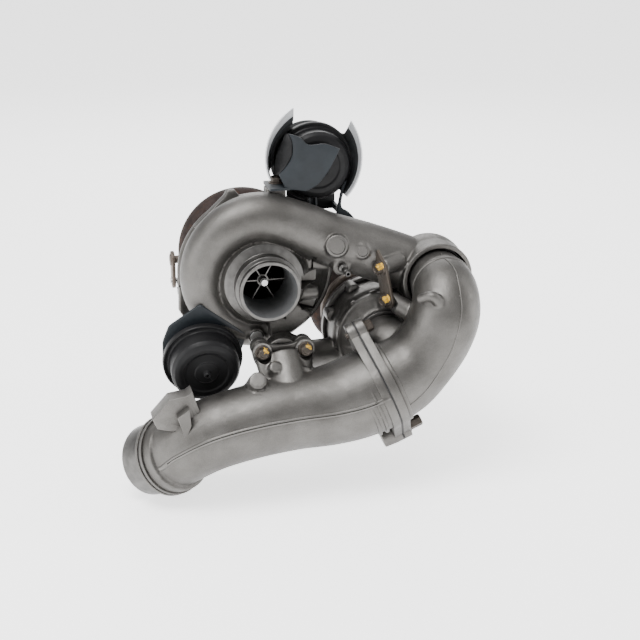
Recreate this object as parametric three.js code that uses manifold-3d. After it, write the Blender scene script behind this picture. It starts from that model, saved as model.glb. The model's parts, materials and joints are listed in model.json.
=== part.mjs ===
// Two-stage diesel turbocharger as an assembly of separate pieces.
// Millimetres, +Z up. The large, low-pressure (LP) rotor and the small, high-pressure (HP) rotor both lie
// along Y, with the compressors at -Y and the turbines at +Y. Everything is laid out from the LP rotor's
// axis, and the whole is then moved so that the origin is the middle of the exhaust manifold flange's face.
import * as THREE from "three";
import { mergeVertices } from "three/addons/utils/BufferGeometryUtils.js";
import Module from "manifold-3d";

const wasm = await Module();
wasm.setup();

// ---------------------------------------------------------------- driving dimensions
const GAP = 0.3; // clearance left between pieces that touch
const WALL = 4; // thickness of the cast walls
const SIDES = 16; // facets of a turned piece

const MANIFOLD_FACE = [185, 75, -55]; // middle of the manifold flange's face, from the LP axis
const HP_AXIS = [117, -66]; // x and z of the HP rotor's axis

// Low-pressure compressor housing: the volute's tube grows clockwise seen from the front
const VOLUTE = { startDeg: -27, sweepDeg: 243, tubeR: [12, 24], ringR: [54, 59], y: [-18, -28] };
const LP_DISCHARGE = [
  [34, -29, 48.5, 24.5], [65, -30, 35, 25], [100, -30, 21.5, 26.5], [135, -31, 7.5, 27], [162, -32, -4, 27],
];
const RIM_R = 74;
const INLET = { lipY: -72, lipR: 28.8, boreR: 25.5 };
const SOCKET = { x: 166, z: -4.5, rimY: -62, outerR: 35, boreR: 30.5, stopY: -42, bulbR: 37, bulbY: -32 };

// Rotors: radii of the wheels, y of their faces, and the shaft's journal
const LP_ROTOR = {
  noseY: -38, backY: -8, inR: 21, outR: 28,
  turbineY: [63, 90], turbineR: [30, 25], journalR: 5, bearingY: [8, 34],
};
const HP_ROTOR = {
  noseY: -28, backY: -7, inR: 15, outR: 20,
  turbineY: [56, 74], turbineR: [22, 18], journalR: 4, bearingY: [7, 28],
};
const BEARING_LENGTH = 8;
const RUNNING = 0.05; // radial clearance of a journal in its bearing

// Charge air joint: a flange whose normal is tipped up from +X, with a lug at each end
const JOINT = {
  at: [101, -97, -94], tiltDeg: 23, plate: 8, bodyR: 42, boltReach: 57.5, lugR: 10.5, lugDepth: 11,
};
const ELBOW = [
  [166, -46, -4.5, 27.5], [166, -66, -4.5, 28], [165.5, -84, -10, 31], [162, -96, -26, 33],
  [154, -98, -47, 33.5], [139, -97, -69, 34.5], [121, -97, -84.5, 37.5], [92, -97, -98, 40],
];
const OUTLET = [
  [107, -97, -91, 41], [75, -98, -102, 40], [50, -99, -107, 38], [15, -100, -110, 35.5],
  [-26, -101, -115, 34.5], [-62, -99, -124, 34], [-85, -90, -137, 34.5], [-97, -81, -148, 33],
];
const SPIGOT = {
  at: [-102, -75, -153], axis: [-0.54, 0.71, -0.45],
  collarR: 37.5, seatR: 32, endR: 34, boreR: 29, length: 27,
};
const DUCT_BOSSES = [
  { root: [70, -36, 31], face: [66, -61, 36], rootR: 13, faceR: 10.5 },
  { root: [94, -38, 25], face: [92, -57, 28], rootR: 9.5, faceR: 7.5 },
];
const DUCT_PAD = { x: 11, z: -57, y: -69, reach: 20.5 };

// Actuators: cans with a rim, and their strokes and cranks
const BOLT_R = 3; // M6
// The strap's two bolt points on its contact face, the way it faces, and its thickness.
const STRAP = { upper: [111, -60, 12], lower: [117, -62.4, -20], facing: [-0.93, -0.37, 0], thickness: 3 };
const CAN = { rimR: 38, frontR: 32.4, rearR: 33, frontLength: 25, rearLength: 12, rodR: 3 };
const GATE_CAN = { at: [-61.5, -47, -70], tiltDeg: 11 };
const GATE = { spindleY: 104, spindleZ: -18, stroke: 10, port: [-19, -28], portR: 5, flapR: 7 };
const FLAP_CAN = { at: [60, 10, 101] };
const SHIELD = { x: 57.5, z: 101, outerR: 43.5, sheet: 1.2, y: [-24, 24.5] };
const FLAP = { x: 66, y: 114, z: -2, boreR: 17.8, arm: 16, stroke: 12, crankZ: 60 };
const CHAMBER = { x: -4, z: -6, outerR: 43, flangeR: 48, y: [92, 126] };

// ---------------------------------------------------------------- materials
const paint = (color, roughness, metalness) =>
  new THREE.MeshStandardMaterial({ color, roughness, metalness });
const CAST_ALUMINIUM = paint(0x8f8d8a, 0.45, 0.9);
const MACHINED = paint(0xb4b2ae, 0.3, 1);
const CAST_IRON = paint(0x3d2e28, 0.8, 0.6);
const DARK_STEEL = paint(0x4a3f38, 0.5, 0.9);
const BLACK_PAINT = paint(0x17181a, 0.45, 0.2);
const BRACKET_BLACK = paint(0x2b3033, 0.4, 0.5);
const SHEET_STEEL = paint(0xb9bbbb, 0.35, 0.9);
const BRONZE = paint(0x8c6b35, 0.4, 0.9);
const RUBBER = paint(0x101010, 0.8, 0);

// ---------------------------------------------------------------- solids
const V = (x, y, z) => new THREE.Vector3(x, y, z);
const radians = THREE.MathUtils.degToRad;
const mix = THREE.MathUtils.lerp;

// A closed three.js geometry as a solid, placed by a matrix, with its faces pointing out.
function solid(geometry, matrix = new THREE.Matrix4()) {
  const bare = new THREE.BufferGeometry();
  bare.setAttribute("position", geometry.getAttribute("position").clone());
  if (geometry.index) bare.setIndex(geometry.index.clone());
  const merged = mergeVertices(bare.applyMatrix4(matrix), 1e-3);
  const triVerts = new Uint32Array(merged.index.array);
  const vertProperties = merged.attributes.position.array;
  const make = () => new wasm.Manifold(new wasm.Mesh({ numProp: 3, vertProperties, triVerts }));
  const made = make();
  if (made.volume() > 0) return made;
  for (let i = 0; i < triVerts.length; i += 3) {
    [triVerts[i + 1], triVerts[i + 2]] = [triVerts[i + 2], triVerts[i + 1]];
  }
  return make();
}

function geometryOf(made) {
  const { vertProperties, numProp, numVert, triVerts } = made.getMesh();
  const positions = new Float32Array(numVert * 3);
  for (let i = 0; i < numVert; i++) {
    positions.set(vertProperties.subarray(i * numProp, i * numProp + 3), i * 3);
  }
  const geometry = new THREE.BufferGeometry();
  geometry.setAttribute("position", new THREE.BufferAttribute(positions, 3));
  geometry.setIndex(new THREE.BufferAttribute(triVerts, 1));
  geometry.computeVertexNormals();
  return geometry;
}

const join = (...parts) => parts.reduce((all, part) => all.add(part));
const cut = (body, ...tools) => tools.reduce((left, tool) => left.subtract(tool), body);

// A matrix that turns +Y to a direction and moves the origin to a point.
function standing(at, direction) {
  const turn = new THREE.Quaternion().setFromUnitVectors(V(0, 1, 0), V(...direction).normalize());
  return new THREE.Matrix4().compose(V(...at), turn, V(1, 1, 1));
}

// A cylinder or cone between two points.
function rod(from, to, r0, r1 = r0, sides = 10) {
  const a = V(...from);
  const b = V(...to);
  const middle = a.clone().add(b).multiplyScalar(0.5);
  const geometry = new THREE.CylinderGeometry(r1, r0, a.distanceTo(b), sides);
  return solid(geometry, standing(middle.toArray(), b.clone().sub(a).toArray()));
}

// A clearance hole for an M6 bolt.
const boltHole = (from, to) => rod(from, to, BOLT_R + GAP, undefined, 12);

const hexagon = (from, to, acrossFlats) => rod(from, to, acrossFlats / Math.sqrt(3), undefined, 6);

function block(size, at, turnY = 0) {
  const matrix = new THREE.Matrix4().makeRotationY(turnY).setPosition(...at);
  return solid(new THREE.BoxGeometry(...size), matrix);
}

function ball(radius, at, sides = 12) {
  const matrix = new THREE.Matrix4().setPosition(...at);
  return solid(new THREE.SphereGeometry(radius, sides, Math.round(sides / 2)), matrix);
}

// A solid of revolution about Y from [radius, y] pairs, closed on itself or on the axis.
function turned(profile, sides = SIDES) {
  const points = profile.map(([r, y]) => new THREE.Vector2(r, y));
  const onAxis = profile[0][0] === 0 && profile.at(-1)[0] === 0;
  if (!onAxis) points.push(points[0].clone());
  return solid(new THREE.LatheGeometry(points, sides));
}

// A ring about Y with a plain rectangular section.
const ring = (inner, outer, y0, y1, sides = SIDES) =>
  turned([[inner, y0], [outer, y0], [outer, y1], [inner, y1]], sides);

// A closed tube along a smooth line of [x, y, z, radius] stations.
function loft(stations, steps, shrink = 0, sides = 10) {
  const curve = new THREE.CatmullRomCurve3(stations.map(([x, y, z]) => V(x, y, z)), false, "centripetal");
  const frames = curve.computeFrenetFrames(steps, false);
  const positions = [];
  const index = [];
  for (let i = 0; i <= steps; i++) {
    const t = curve.getUtoTmapping(i / steps);
    const along = t * (stations.length - 1);
    const k = Math.min(Math.floor(along), stations.length - 2);
    const radius = mix(stations[k][3], stations[k + 1][3], along - k) - shrink;
    const centre = curve.getPoint(t);
    for (let j = 0; j < sides; j++) {
      const turn = (2 * Math.PI * j) / sides;
      const p = centre.clone();
      p.addScaledVector(frames.normals[i], radius * Math.cos(turn));
      p.addScaledVector(frames.binormals[i], radius * Math.sin(turn));
      positions.push(...p);
    }
  }
  for (let i = 0; i < steps; i++) {
    for (let j = 0; j < sides; j++) {
      const next = (j + 1) % sides;
      const near = i * sides;
      const far = near + sides;
      index.push(near + j, far + j, near + next, near + next, far + j, far + next);
    }
  }
  for (let j = 1; j < sides - 1; j++) {
    const last = steps * sides;
    index.push(0, j, j + 1, last, last + j + 1, last + j);
  }
  const geometry = new THREE.BufferGeometry();
  geometry.setAttribute("position", new THREE.Float32BufferAttribute(positions, 3));
  geometry.setIndex(index);
  return solid(geometry);
}

// A flat plate: an outline in x and z, extruded from y0 to y1.
function plateXZ(shape, y0, y1, curveSegments = 8) {
  const geometry = new THREE.ExtrudeGeometry(shape, { depth: y1 - y0, bevelEnabled: false, curveSegments });
  const matrix = new THREE.Matrix4().makeRotationX(Math.PI / 2).setPosition(0, y1, 0);
  return solid(geometry, matrix);
}

function polygon(points) {
  return new THREE.Shape(points.map(([x, z]) => new THREE.Vector2(x, z)));
}

const root = new THREE.Group();
const unit = new THREE.Group();
unit.position.set(...MANIFOLD_FACE.map((value) => -value));
root.add(unit);

// The largest body of a solid: a cut between near-equal faces can leave slivers beside it.
function withoutSlivers(made) {
  const bodies = made.decompose();
  return bodies.reduce((best, body) => (body.volume() > best.volume() ? body : best));
}

// Adds a solid as a named mesh to a group.
function node(name, made, material, group) {
  const mesh = new THREE.Mesh(geometryOf(withoutSlivers(made)), material);
  mesh.name = name;
  group.add(mesh);
}

// ---------------------------------------------------------------- rotors
// A bladed wheel about Y: a turned body with thin twisted blades between its hub line and the tip line.
function wheel(body, hub, tip, blades, wrapDeg, thickness) {
  const steps = hub.length - 1;
  let made = body;
  const corner = ([r, y], angle, side) => {
    const a = angle + (side * thickness) / 2 / r;
    return [r * Math.cos(a), y, r * Math.sin(a)];
  };
  for (let blade = 0; blade < blades; blade++) {
    const positions = [];
    const index = [];
    for (let i = 0; i <= steps; i++) {
      const root = [hub[i][0] - 1.2, hub[i][1]];
      const angle = (2 * Math.PI * blade) / blades + radians(wrapDeg) * (i / steps);
      for (const [point, side] of [[root, -1], [root, 1], [tip[i], 1], [tip[i], -1]]) {
        positions.push(...corner(point, angle, side));
      }
    }
    for (let i = 0; i < steps; i++) {
      for (let j = 0; j < 4; j++) {
        const a = 4 * i + j;
        const b = 4 * i + ((j + 1) % 4);
        index.push(a, a + 4, b, b, a + 4, b + 4);
      }
    }
    const last = 4 * steps;
    index.push(0, 1, 2, 0, 2, 3, last, last + 2, last + 1, last, last + 3, last + 2);
    const geometry = new THREE.BufferGeometry();
    geometry.setAttribute("position", new THREE.Float32BufferAttribute(positions, 3));
    geometry.setIndex(index);
    made = made.add(solid(geometry));
  }
  return made;
}

function compressorWheel({ noseY, backY, inR, outR }, boreR) {
  const length = backY - noseY;
  const hub = [[0.33, 0.06], [0.45, 0.55], [0.98, 0.93]].map(([r, y]) => [r * outR, noseY + y * length]);
  const tip = [[inR, 0.08], [inR * 1.03, 0.5], [outR - 0.1, 0.8]].map(([r, y]) => [r, noseY + y * length]);
  const discY = noseY + 0.92 * length;
  const disc = [[outR, discY], [outR, backY]];
  const body = turned([[boreR, hub[0][1]], ...hub.slice(0, 2), ...disc, [boreR, backY]], 24);
  return wheel(body, hub, tip, 6, -40, 1.1);
}

function turbineWheel({ turbineY: [y0, y1], turbineR: [r0, r1] }) {
  const length = y1 - y0;
  const hub = [[0.95, 0.1], [0.42, 0.45], [0.3, 0.97]].map(([r, y]) => [r * r0, y0 + y * length]);
  const tip = [[r0 - 0.1, 0.36], [r1 + 1, 0.55], [r1, 0.95]].map(([r, y]) => [r, y0 + y * length]);
  const disc = [[r0, y0], [r0, y0 + 0.12 * length]];
  const body = turned([[0, y0], ...disc, ...hub.slice(1), [4, y1 + 3], [0, y1 + 3]], 20);
  return wheel(body, hub, tip, 6, 30, 2);
}

function shaft({ noseY, backY, turbineY, journalR }) {
  const thread = 3;
  const collar = journalR + 2;
  return turned([
    [0, noseY - 7], [thread, noseY - 7], [thread, backY + 1], [journalR, backY + 1],
    [journalR, turbineY[0] - 6], [collar, turbineY[0] - 6],
    [collar, turbineY[0] - GAP], [0, turbineY[0] - GAP],
  ]);
}

function rotor(prefix, size, group) {
  const bore = 3 + GAP;
  node(`${prefix}_shaft`, shaft(size), DARK_STEEL, group);
  node(`${prefix}_compressor_wheel`, compressorWheel(size, bore), MACHINED, group);
  const hex = hexagon([0, size.noseY - 5, 0], [0, size.noseY + 0.9, 0], 8);
  const nut = cut(hex, rod([0, -90, 0], [0, 0, 0], bore));
  node(`${prefix}_wheel_nut`, nut, DARK_STEEL, group);
  node(`${prefix}_turbine_wheel`, turbineWheel(size), DARK_STEEL, group);
}

// The bearing housing's body between the compressor's back and the turbine, with its oil ways.
function bearingHousing(spigotR, flangeR, coreR, rearR, length, size) {
  const { journalR, bearingY, backY } = size;
  const seatR = journalR + 4;
  const body = turned([
    [0, backY + 1.5], [spigotR - 1, backY + 1.5], [spigotR - 1, GAP], [flangeR, GAP], [flangeR, 7],
    [coreR, 7], [coreR, length - 8], [rearR, length - 6], [rearR, length - GAP], [0, length - GAP],
  ]);
  const feed = rod([0, length / 2, 0], [0, length / 2, coreR + 9], 11);
  const drain = rod([0, length / 2, 0], [0, length / 2, -coreR - 14], 15);
  const passages = [
    rod([0, -20, 0], [0, length + 1, 0], journalR + 1, undefined, SIDES),
    rod([0, bearingY[0] - GAP, 0], [0, bearingY[1] + BEARING_LENGTH + GAP, 0], seatR, undefined, SIDES),
    rod([0, length / 2, 0], [0, length / 2, coreR + 10], 4),
    rod([0, length / 2, 0], [0, length / 2, -coreR - 15], 9),
  ];
  return cut(join(body, feed, drain), ...passages);
}

function bearings(prefix, { journalR, bearingY }, group) {
  for (const [name, y] of [["front", bearingY[0]], ["rear", bearingY[1]]]) {
    const boreR = (journalR + RUNNING) / Math.cos(Math.PI / SIDES); // the facets' middles clear the journal
    const made = ring(boreR, journalR + 4 - GAP, y, y + BEARING_LENGTH);
    node(`${prefix}_${name}_bearing`, made, BRONZE, group);
  }
}

// A split band clamping two flanges, with its gap at the bottom.
function clampBand(innerR, y) {
  const band = ring(innerR, innerR + 4.5, y - 5, y + 5);
  return cut(band, block([10, 20, 20], [0, y, -innerR - 2]));
}

// ---------------------------------------------------------------- low-pressure stage
function lpVolute(shrink) {
  const stations = [];
  for (let i = 0; i <= 8; i++) {
    const t = i / 8;
    const angle = radians(VOLUTE.startDeg - VOLUTE.sweepDeg * t);
    const reach = mix(...VOLUTE.ringR, t);
    const [y, tubeR] = [mix(...VOLUTE.y, t), mix(...VOLUTE.tubeR, t)];
    stations.push([reach * Math.cos(angle), y, reach * Math.sin(angle), tubeR]);
  }
  const first = shrink > 0 ? 1 : 0; // the passage starts inside the closed end of the tube
  return loft([...stations.slice(first), ...LP_DISCHARGE], 18, shrink, shrink > 0 ? 7 : 10);
}

const STRAP_UP = V(...STRAP.upper).sub(V(...STRAP.lower)).normalize();
const STRAP_OUT = V(...STRAP.facing).projectOnPlane(STRAP_UP).normalize();

// A point off one of the strap's bolt points, along its bolts.
function fromStrap(point, distance) {
  return STRAP_OUT.clone().multiplyScalar(distance).add(V(...point)).toArray();
}

// Puts a solid laid out with the strap's face in the XZ plane and its top along +Z in place.
function onStrap(made) {
  const side = STRAP_OUT.clone().cross(STRAP_UP);
  const matrix = new THREE.Matrix4().makeBasis(side, STRAP_OUT, STRAP_UP).setPosition(...STRAP.upper);
  return made.transform(matrix.elements);
}

// The room kept free for the strap and the heads of its bolts.
const strapRoom = () => onStrap(block([20, 12, 68], [0, 6 - GAP, -16]));

function lpCompressorHousing() {
  const { lipY, lipR, boreR } = INLET;
  const { x, z, rimY, outerR, stopY, bulbR, bulbY } = SOCKET;
  const body = turned([
    [0, 0], [RIM_R, 0], [RIM_R, -7], [62, -11], [40, -38], [38, -44], [30, -46],
    [29.5, lipY + 15], [31, lipY + 13], [31, lipY + 8], [lipR, lipY + 6], [lipR, lipY], [0, lipY],
  ]);
  const bulb = join(ball(bulbR, [x, bulbY, z]), rod([x, bulbY, z], [x, rimY, z], outerR, undefined, SIDES));
  const mountingBoss = block([19, 16, 26], [18.5, -8, 70]);
  const strapBoss = rod(fromStrap(STRAP.upper, -20), fromStrap(STRAP.upper, -GAP), 8);
  const ductBosses = DUCT_BOSSES.map(({ root, face, rootR, faceR }) => rod(root, face, rootR, faceR));
  const nippleBoss = rod([NIPPLE.x, -34, NIPPLE.z + 5], [NIPPLE.x, NIPPLE.seatY, NIPPLE.z], 9);
  const stack = join(body, lpVolute(0), bulb, mountingBoss, strapBoss, nippleBoss, ...ductBosses);
  const throat = turned([
    [0, lipY - 1], [boreR, lipY - 1], [boreR - 1.5, lipY + 12], [22.8, -44], [22.8, -24], [26.5, -18],
    [29.6, -15.5], [29.6, -11], [57, -11], [57, -7], [30, -7], [30, 1], [0, 1],
  ]);
  const inside = join(
    ball(bulbR - WALL, [x, bulbY, z]),
    rod([x, bulbY, z], [x, rimY - 1, z], 24),
    rod([x, rimY, z], [x, rimY - 8, z], bulbR, undefined, SIDES),
    rod([x, stopY, z], [x, rimY - 8, z], SOCKET.boreR, undefined, SIDES),
  );
  const bracketScrew = boltHole([20, -6, 62], [20, -6, 90]);
  const strapScrew = boltHole(fromStrap(STRAP.upper, -9), fromStrap(STRAP.upper, 2));
  const holes = [bracketScrew, strapRoom(), strapScrew, nippleHole(), ...clampScrewHoles()];
  return cut(stack, throat, lpVolute(WALL), inside, ...holes);
}

const NIPPLE = { x: 73.5, z: 12, rootY: -42, seatY: -50, tipY: -74 };
const onNipple = (y) => [NIPPLE.x, y, NIPPLE.z];
const nippleHole = () => rod(onNipple(-62), onNipple(NIPPLE.rootY + 3), 4 + GAP, undefined, 12);

function lpTurbineHousing() {
  const { x, z, outerR, flangeR, y } = CHAMBER;
  const stations = [[FLAP.x, 97, FLAP.z, 21], [FLAP.x, 90, FLAP.z, 21], [56, 80, -8, 20.5]];
  const turns = 8;
  for (let i = 0; i <= turns; i++) {
    const angle = radians(mix(-38, -325, i / turns));
    stations.push([48 * Math.cos(angle), 72, 48 * Math.sin(angle), mix(20, 14, i / turns)]);
  }
  const scroll = (shrink) => loft(stations, 12, shrink, 6);
  const core = turned([[0, 48], [42, 48], [42, 55], [50, 60], [52, 84], [40, 94], [0, 94]]);
  const chamber = rod([x, y[0] - 6, z], [x, y[1] - 4, z], outerR, undefined, SIDES);
  const fullFlange = rod([x, y[1] - 9, z], [x, y[1], z], flangeR, undefined, SIDES);
  const outletFlange = cut(fullFlange, block([30, 60, 120], [52, y[1], 0]));
  const inletFlange = rod([FLAP.x, 88, FLAP.z], [FLAP.x, 97.8, FLAP.z], 26, undefined, 16);
  const spindleBoss = rod([-44, GATE.spindleY, GATE.spindleZ], [-60, GATE.spindleY, GATE.spindleZ], 10);
  const wheelBore = turned([[0, 46], [38, 46], [38, 60], [31, 61], [31, 75], [26, 82], [26, 95], [0, 95]]);
  const nozzle = ring(28, 48, 62, 73);
  const hollow = rod([x, y[0], z], [x, y[1] + 1, z], outerR - WALL, undefined, SIDES);
  const spindle = (from) => [from, GATE.spindleY, GATE.spindleZ];
  const spindleWay = rod(spindle(-20), spindle(-61), 6 + GAP, undefined, 20);
  const [px, pz] = GATE.port;
  const port = rod([px, 80, pz], [px, y[0] + 1, pz], GATE.portR, undefined, 14);
  const inletWay = rod([FLAP.x, 90, FLAP.z], [FLAP.x, 99, FLAP.z], 17);
  const stack = join(core, scroll(0), chamber, outletFlange, inletFlange, spindleBoss);
  return cut(stack, wheelBore, nozzle, scroll(WALL), hollow, spindleWay, port, inletWay);
}

function buildLowPressureStage(group) {
  node("large_compressor_housing", lpCompressorHousing(), CAST_ALUMINIUM, group);
  node("large_bearing_housing", bearingHousing(30, 60, 27, 42, 48, LP_ROTOR), CAST_IRON, group);
  bearings("large", LP_ROTOR, group);
  node("large_turbine_housing", lpTurbineHousing(), CAST_IRON, group);
  node("large_clamp_band", clampBand(42 + GAP, 48), DARK_STEEL, group);
  rotor("large", LP_ROTOR, group);
}

// A plate that two screws press on the bearing housing's rim, to hold it to the compressor housing.
const CLAMP_SCREWS = [13, -13].map((z) => [-64.5, z]);
const clampScrewHoles = () => CLAMP_SCREWS.map(([x, z]) => boltHole([x, -5, z], [x, 20, z]));

function buildClampPlate(group) {
  const outline = new THREE.Shape();
  outline.absarc(0, 0, RIM_R - 3, radians(160), radians(200), false);
  outline.absarc(0, 0, RIM_R - 20, radians(200), radians(160), true);
  const holes = clampScrewHoles();
  node("large_clamp_plate", cut(plateXZ(outline, 7 + GAP, 10.5), ...holes), DARK_STEEL, group);
  CLAMP_SCREWS.forEach(([x, z], i) => {
    const shank = rod([x, -4, z], [x, 11, z], BOLT_R, undefined, 10);
    const head = hexagon([x, 10.5 + GAP, z], [x, 15, z], 10);
    node(`large_clamp_screw_${i + 1}`, shank.add(head), DARK_STEEL, group);
  });
}

// ---------------------------------------------------------------- high-pressure stage, about its own axis
const HP_VOLUTE = { startDeg: 60, endDeg: -150, tubeR: [9, 14], ringR: [36, 38], y: -20 };
const [HP_X, HP_Z] = HP_AXIS;
const HP_MOUTH_Y = -52; // front of the HP compressor's inlet collar
const PAD_PORT = {
  x: DUCT_PAD.x - HP_X, z: DUCT_PAD.z - 8 - HP_Z, y: DUCT_PAD.y + 1.5, outerR: 17, boreR: 12,
};

function hpVolute(shrink) {
  const { startDeg, endDeg, ringR, tubeR, y } = HP_VOLUTE;
  const stations = [];
  for (let i = 0; i <= 6; i++) {
    const angle = radians(mix(startDeg, endDeg, i / 6));
    const reach = mix(...ringR, i / 6);
    stations.push([reach * Math.cos(angle), y, reach * Math.sin(angle), mix(...tubeR, i / 6)]);
  }
  const run = [[-52, -25, -18, 14], [-76, -35, -14, 14.5], [PAD_PORT.x + 6, -49, PAD_PORT.z, 15]];
  const end = [[PAD_PORT.x, -58, PAD_PORT.z, 16], [PAD_PORT.x, PAD_PORT.y - 0.5 * shrink, PAD_PORT.z, 16]];
  const first = shrink > 0 ? 1 : 0;
  return loft([...stations.slice(first), ...run, ...end], 14, shrink, 6);
}

function hpCompressorHousing() {
  const body = turned([
    [0, 0], [51, 0], [51, -6], [47, -12], [47, -30], [42, -40], [32, -44], [30, -46],
    [30, HP_MOUTH_Y], [0, HP_MOUTH_Y],
  ]);
  const [x, y, z] = [PAD_PORT.x, PAD_PORT.y, PAD_PORT.z];
  const pad = rod([x, y + 8, z], [x, y, z], PAD_PORT.outerR);
  const bulbRoom = ball(SOCKET.bulbR + GAP, [SOCKET.x - HP_X, SOCKET.bulbY, SOCKET.z - HP_Z]);
  const ears = [-1, 1].map((side) => {
    return rod([x + side * DUCT_PAD.reach, y + 8, z + 8], [x + side * DUCT_PAD.reach, y, z + 8], 9);
  });
  const screws = [-1, 1].map((side) => {
    const place = x + side * DUCT_PAD.reach;
    return boltHole([place, y - 1, z + 8], [place, y + 9, z + 8]);
  });
  const throat = turned([
    [0, HP_MOUTH_Y - 1], [24, HP_MOUTH_Y - 1], [24, -46], [16.6, -32], [16.6, -18], [19, -14.5],
    [21.6, -12.5], [21.6, -10], [36, -10], [36, -7], [22, -7], [22, 1], [0, 1],
  ]);
  const mouth = rod([x, y - 1, z], [x, y + 12, z], PAD_PORT.boreR);
  return cut(join(body, hpVolute(0), pad, ...ears), throat, hpVolute(WALL), mouth, bulbRoom, ...screws);
}

// The turbine housing with its twin-port manifold flange facing +X.
function hpTurbineHousing() {
  const face = MANIFOLD_FACE[0] - HP_X;
  const flangeY = MANIFOLD_FACE[1];
  const flangeZ = MANIFOLD_FACE[2] - HP_Z;
  const stations = [[face + 1, flangeY - 19, flangeZ - 22, 17], [50, 62, -30, 17], [34, 66, -34, 17]];
  for (let i = 0; i <= 7; i++) {
    const angle = radians(mix(-60, -320, i / 7));
    stations.push([33 * Math.cos(angle), 66, 33 * Math.sin(angle), mix(17, 12, i / 7)]);
  }
  const scroll = (shrink) => loft(stations, 11, shrink, 6);
  const core = turned([[0, 42], [36, 42], [36, 48], [42, 54], [42, 78], [30, 86], [30, 100], [0, 100]]);
  const flange = block([9, 80, 84], [face - 4.5, flangeY, flangeZ]);
  const bypassLine = [
    [face + 1, flangeY + 17, flangeZ + 12, 14], [44, 82, 20, 14], [20, 82, 12, 14], [4, 84, 4, 14],
  ];
  const wheelBore = turned([
    [0, 41], [32, 41], [32, 54], [23, 55], [23, 63], [19, 68], [19, 80], [24, 92], [24, 101], [0, 101],
  ]);
  const nozzle = ring(21, 36, 56, 62);
  // A straight hole of a radius from the flange's face to a depth, off the flange's middle by y and z.
  const fromFace = (y, z, depth, radius) => {
    const at = (x) => [x, flangeY + y, flangeZ + z];
    return rod(at(face - depth), at(face + 1), radius, undefined, 14);
  };
  const ports = [fromFace(-17, -20, 8.5, 11.5), fromFace(17, 12, 8.5, 9.5)];
  const studs = [[-31, 33], [31, 33], [-31, -33], [31, -33]].map(([y, z]) => fromFace(y, z, 10, 4.2));
  const stack = join(core, scroll(0), flange, loft(bypassLine, 4, 0, 7));
  const pastFace = block([20, 100, 100], [face + 10, flangeY, flangeZ]);
  const ways = [scroll(WALL), loft(bypassLine, 4, WALL, 6), ...ports, ...studs];
  return cut(stack, pastFace, wheelBore, nozzle, ...ways);
}

function buildHighPressureStage(group) {
  node("small_compressor_housing", hpCompressorHousing(), CAST_ALUMINIUM, group);
  node("small_bearing_housing", bearingHousing(22, 50, 22, 36, 42, HP_ROTOR), CAST_IRON, group);
  bearings("small", HP_ROTOR, group);
  node("small_turbine_housing", hpTurbineHousing(), CAST_IRON, group);
  node("small_clamp_band", clampBand(36 + GAP, 42), DARK_STEEL, group);
  rotor("small", HP_ROTOR, group);
}

// The hot pipe from the HP turbine's outlet to the LP turbine's inlet, with the exhaust flap's valve body.
function crossoverPipe() {
  const { x, y, z, boreR, crankZ } = FLAP;
  const start = 100 + GAP;
  const end = 97.8 + GAP;
  const stations = [
    [HP_X, start, HP_Z, 25], [HP_X, 112, HP_Z, 25], [HP_X - 5, 126, HP_Z + 8, 24], [100, 138, -42, 23],
    [80, 141, -14, 22.5], [x, 130, z, 22], [x, end + 20, z, 22], [x, end, z, 22],
  ];
  const flanges = [
    rod([HP_X, start, HP_Z], [HP_X, start + 8, HP_Z], 32, undefined, 20),
    rod([x, end, z], [x, end + 8, z], 26, undefined, 16),
  ];
  const tower = rod([x, y, z], [x, y, crankZ - 2], 9);
  const ways = [
    rod([HP_X, start - 1, HP_Z], [HP_X, start + 8, HP_Z], 21),
    rod([x, end - 1, z], [x, end + 31, z], boreR, undefined, SIDES),
    rod([x, y, z - 18], [x, y, crankZ], 4 + GAP),
    rod([x, y, crankZ - 14], [x, y, crankZ], 6 + GAP, undefined, 20),
  ];
  return cut(join(loft(stations, 10, 0, 9), ...flanges, tower), loft(stations, 8, WALL, 7), ...ways);
}

// ---------------------------------------------------------------- charge air pipes
// The joint's own frame has +X along the flange's normal and its origin in the middle of the gasket.
const JOINT_MATRIX = new THREE.Matrix4()
  .makeRotationY(-radians(JOINT.tiltDeg))
  .setPosition(...JOINT.at);
const atJoint = (made) => made.transform(JOINT_MATRIX.elements);

// The joint's outline across its normal: a round body with a bolt lug at each end.
function jointPlate(x0, x1, innerR) {
  const lug = (side) => {
    const z = side * JOINT.boltReach;
    const web = block([x1 - x0, 2 * JOINT.lugR, 24], [(x0 + x1) / 2, JOINT.lugDepth, z - side * 12]);
    return rod([x0, JOINT.lugDepth, z], [x1, JOINT.lugDepth, z], JOINT.lugR, undefined, 14).add(web);
  };
  const plate = join(rod([x0, 0, 0], [x1, 0, 0], JOINT.bodyR, undefined, SIDES), lug(1), lug(-1));
  return cut(plate, rod([x0 - 1, 0, 0], [x1 + 1, 0, 0], innerR, undefined, SIDES), ...jointBoltHoles());
}

function jointBoltHoles() {
  return [1, -1].map((side) => {
    const z = side * JOINT.boltReach;
    return boltHole([-14, JOINT.lugDepth, z], [14, JOINT.lugDepth, z]);
  });
}

const FLAP_SEAT_R = 24;
const PIPE_R = 36;

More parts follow.
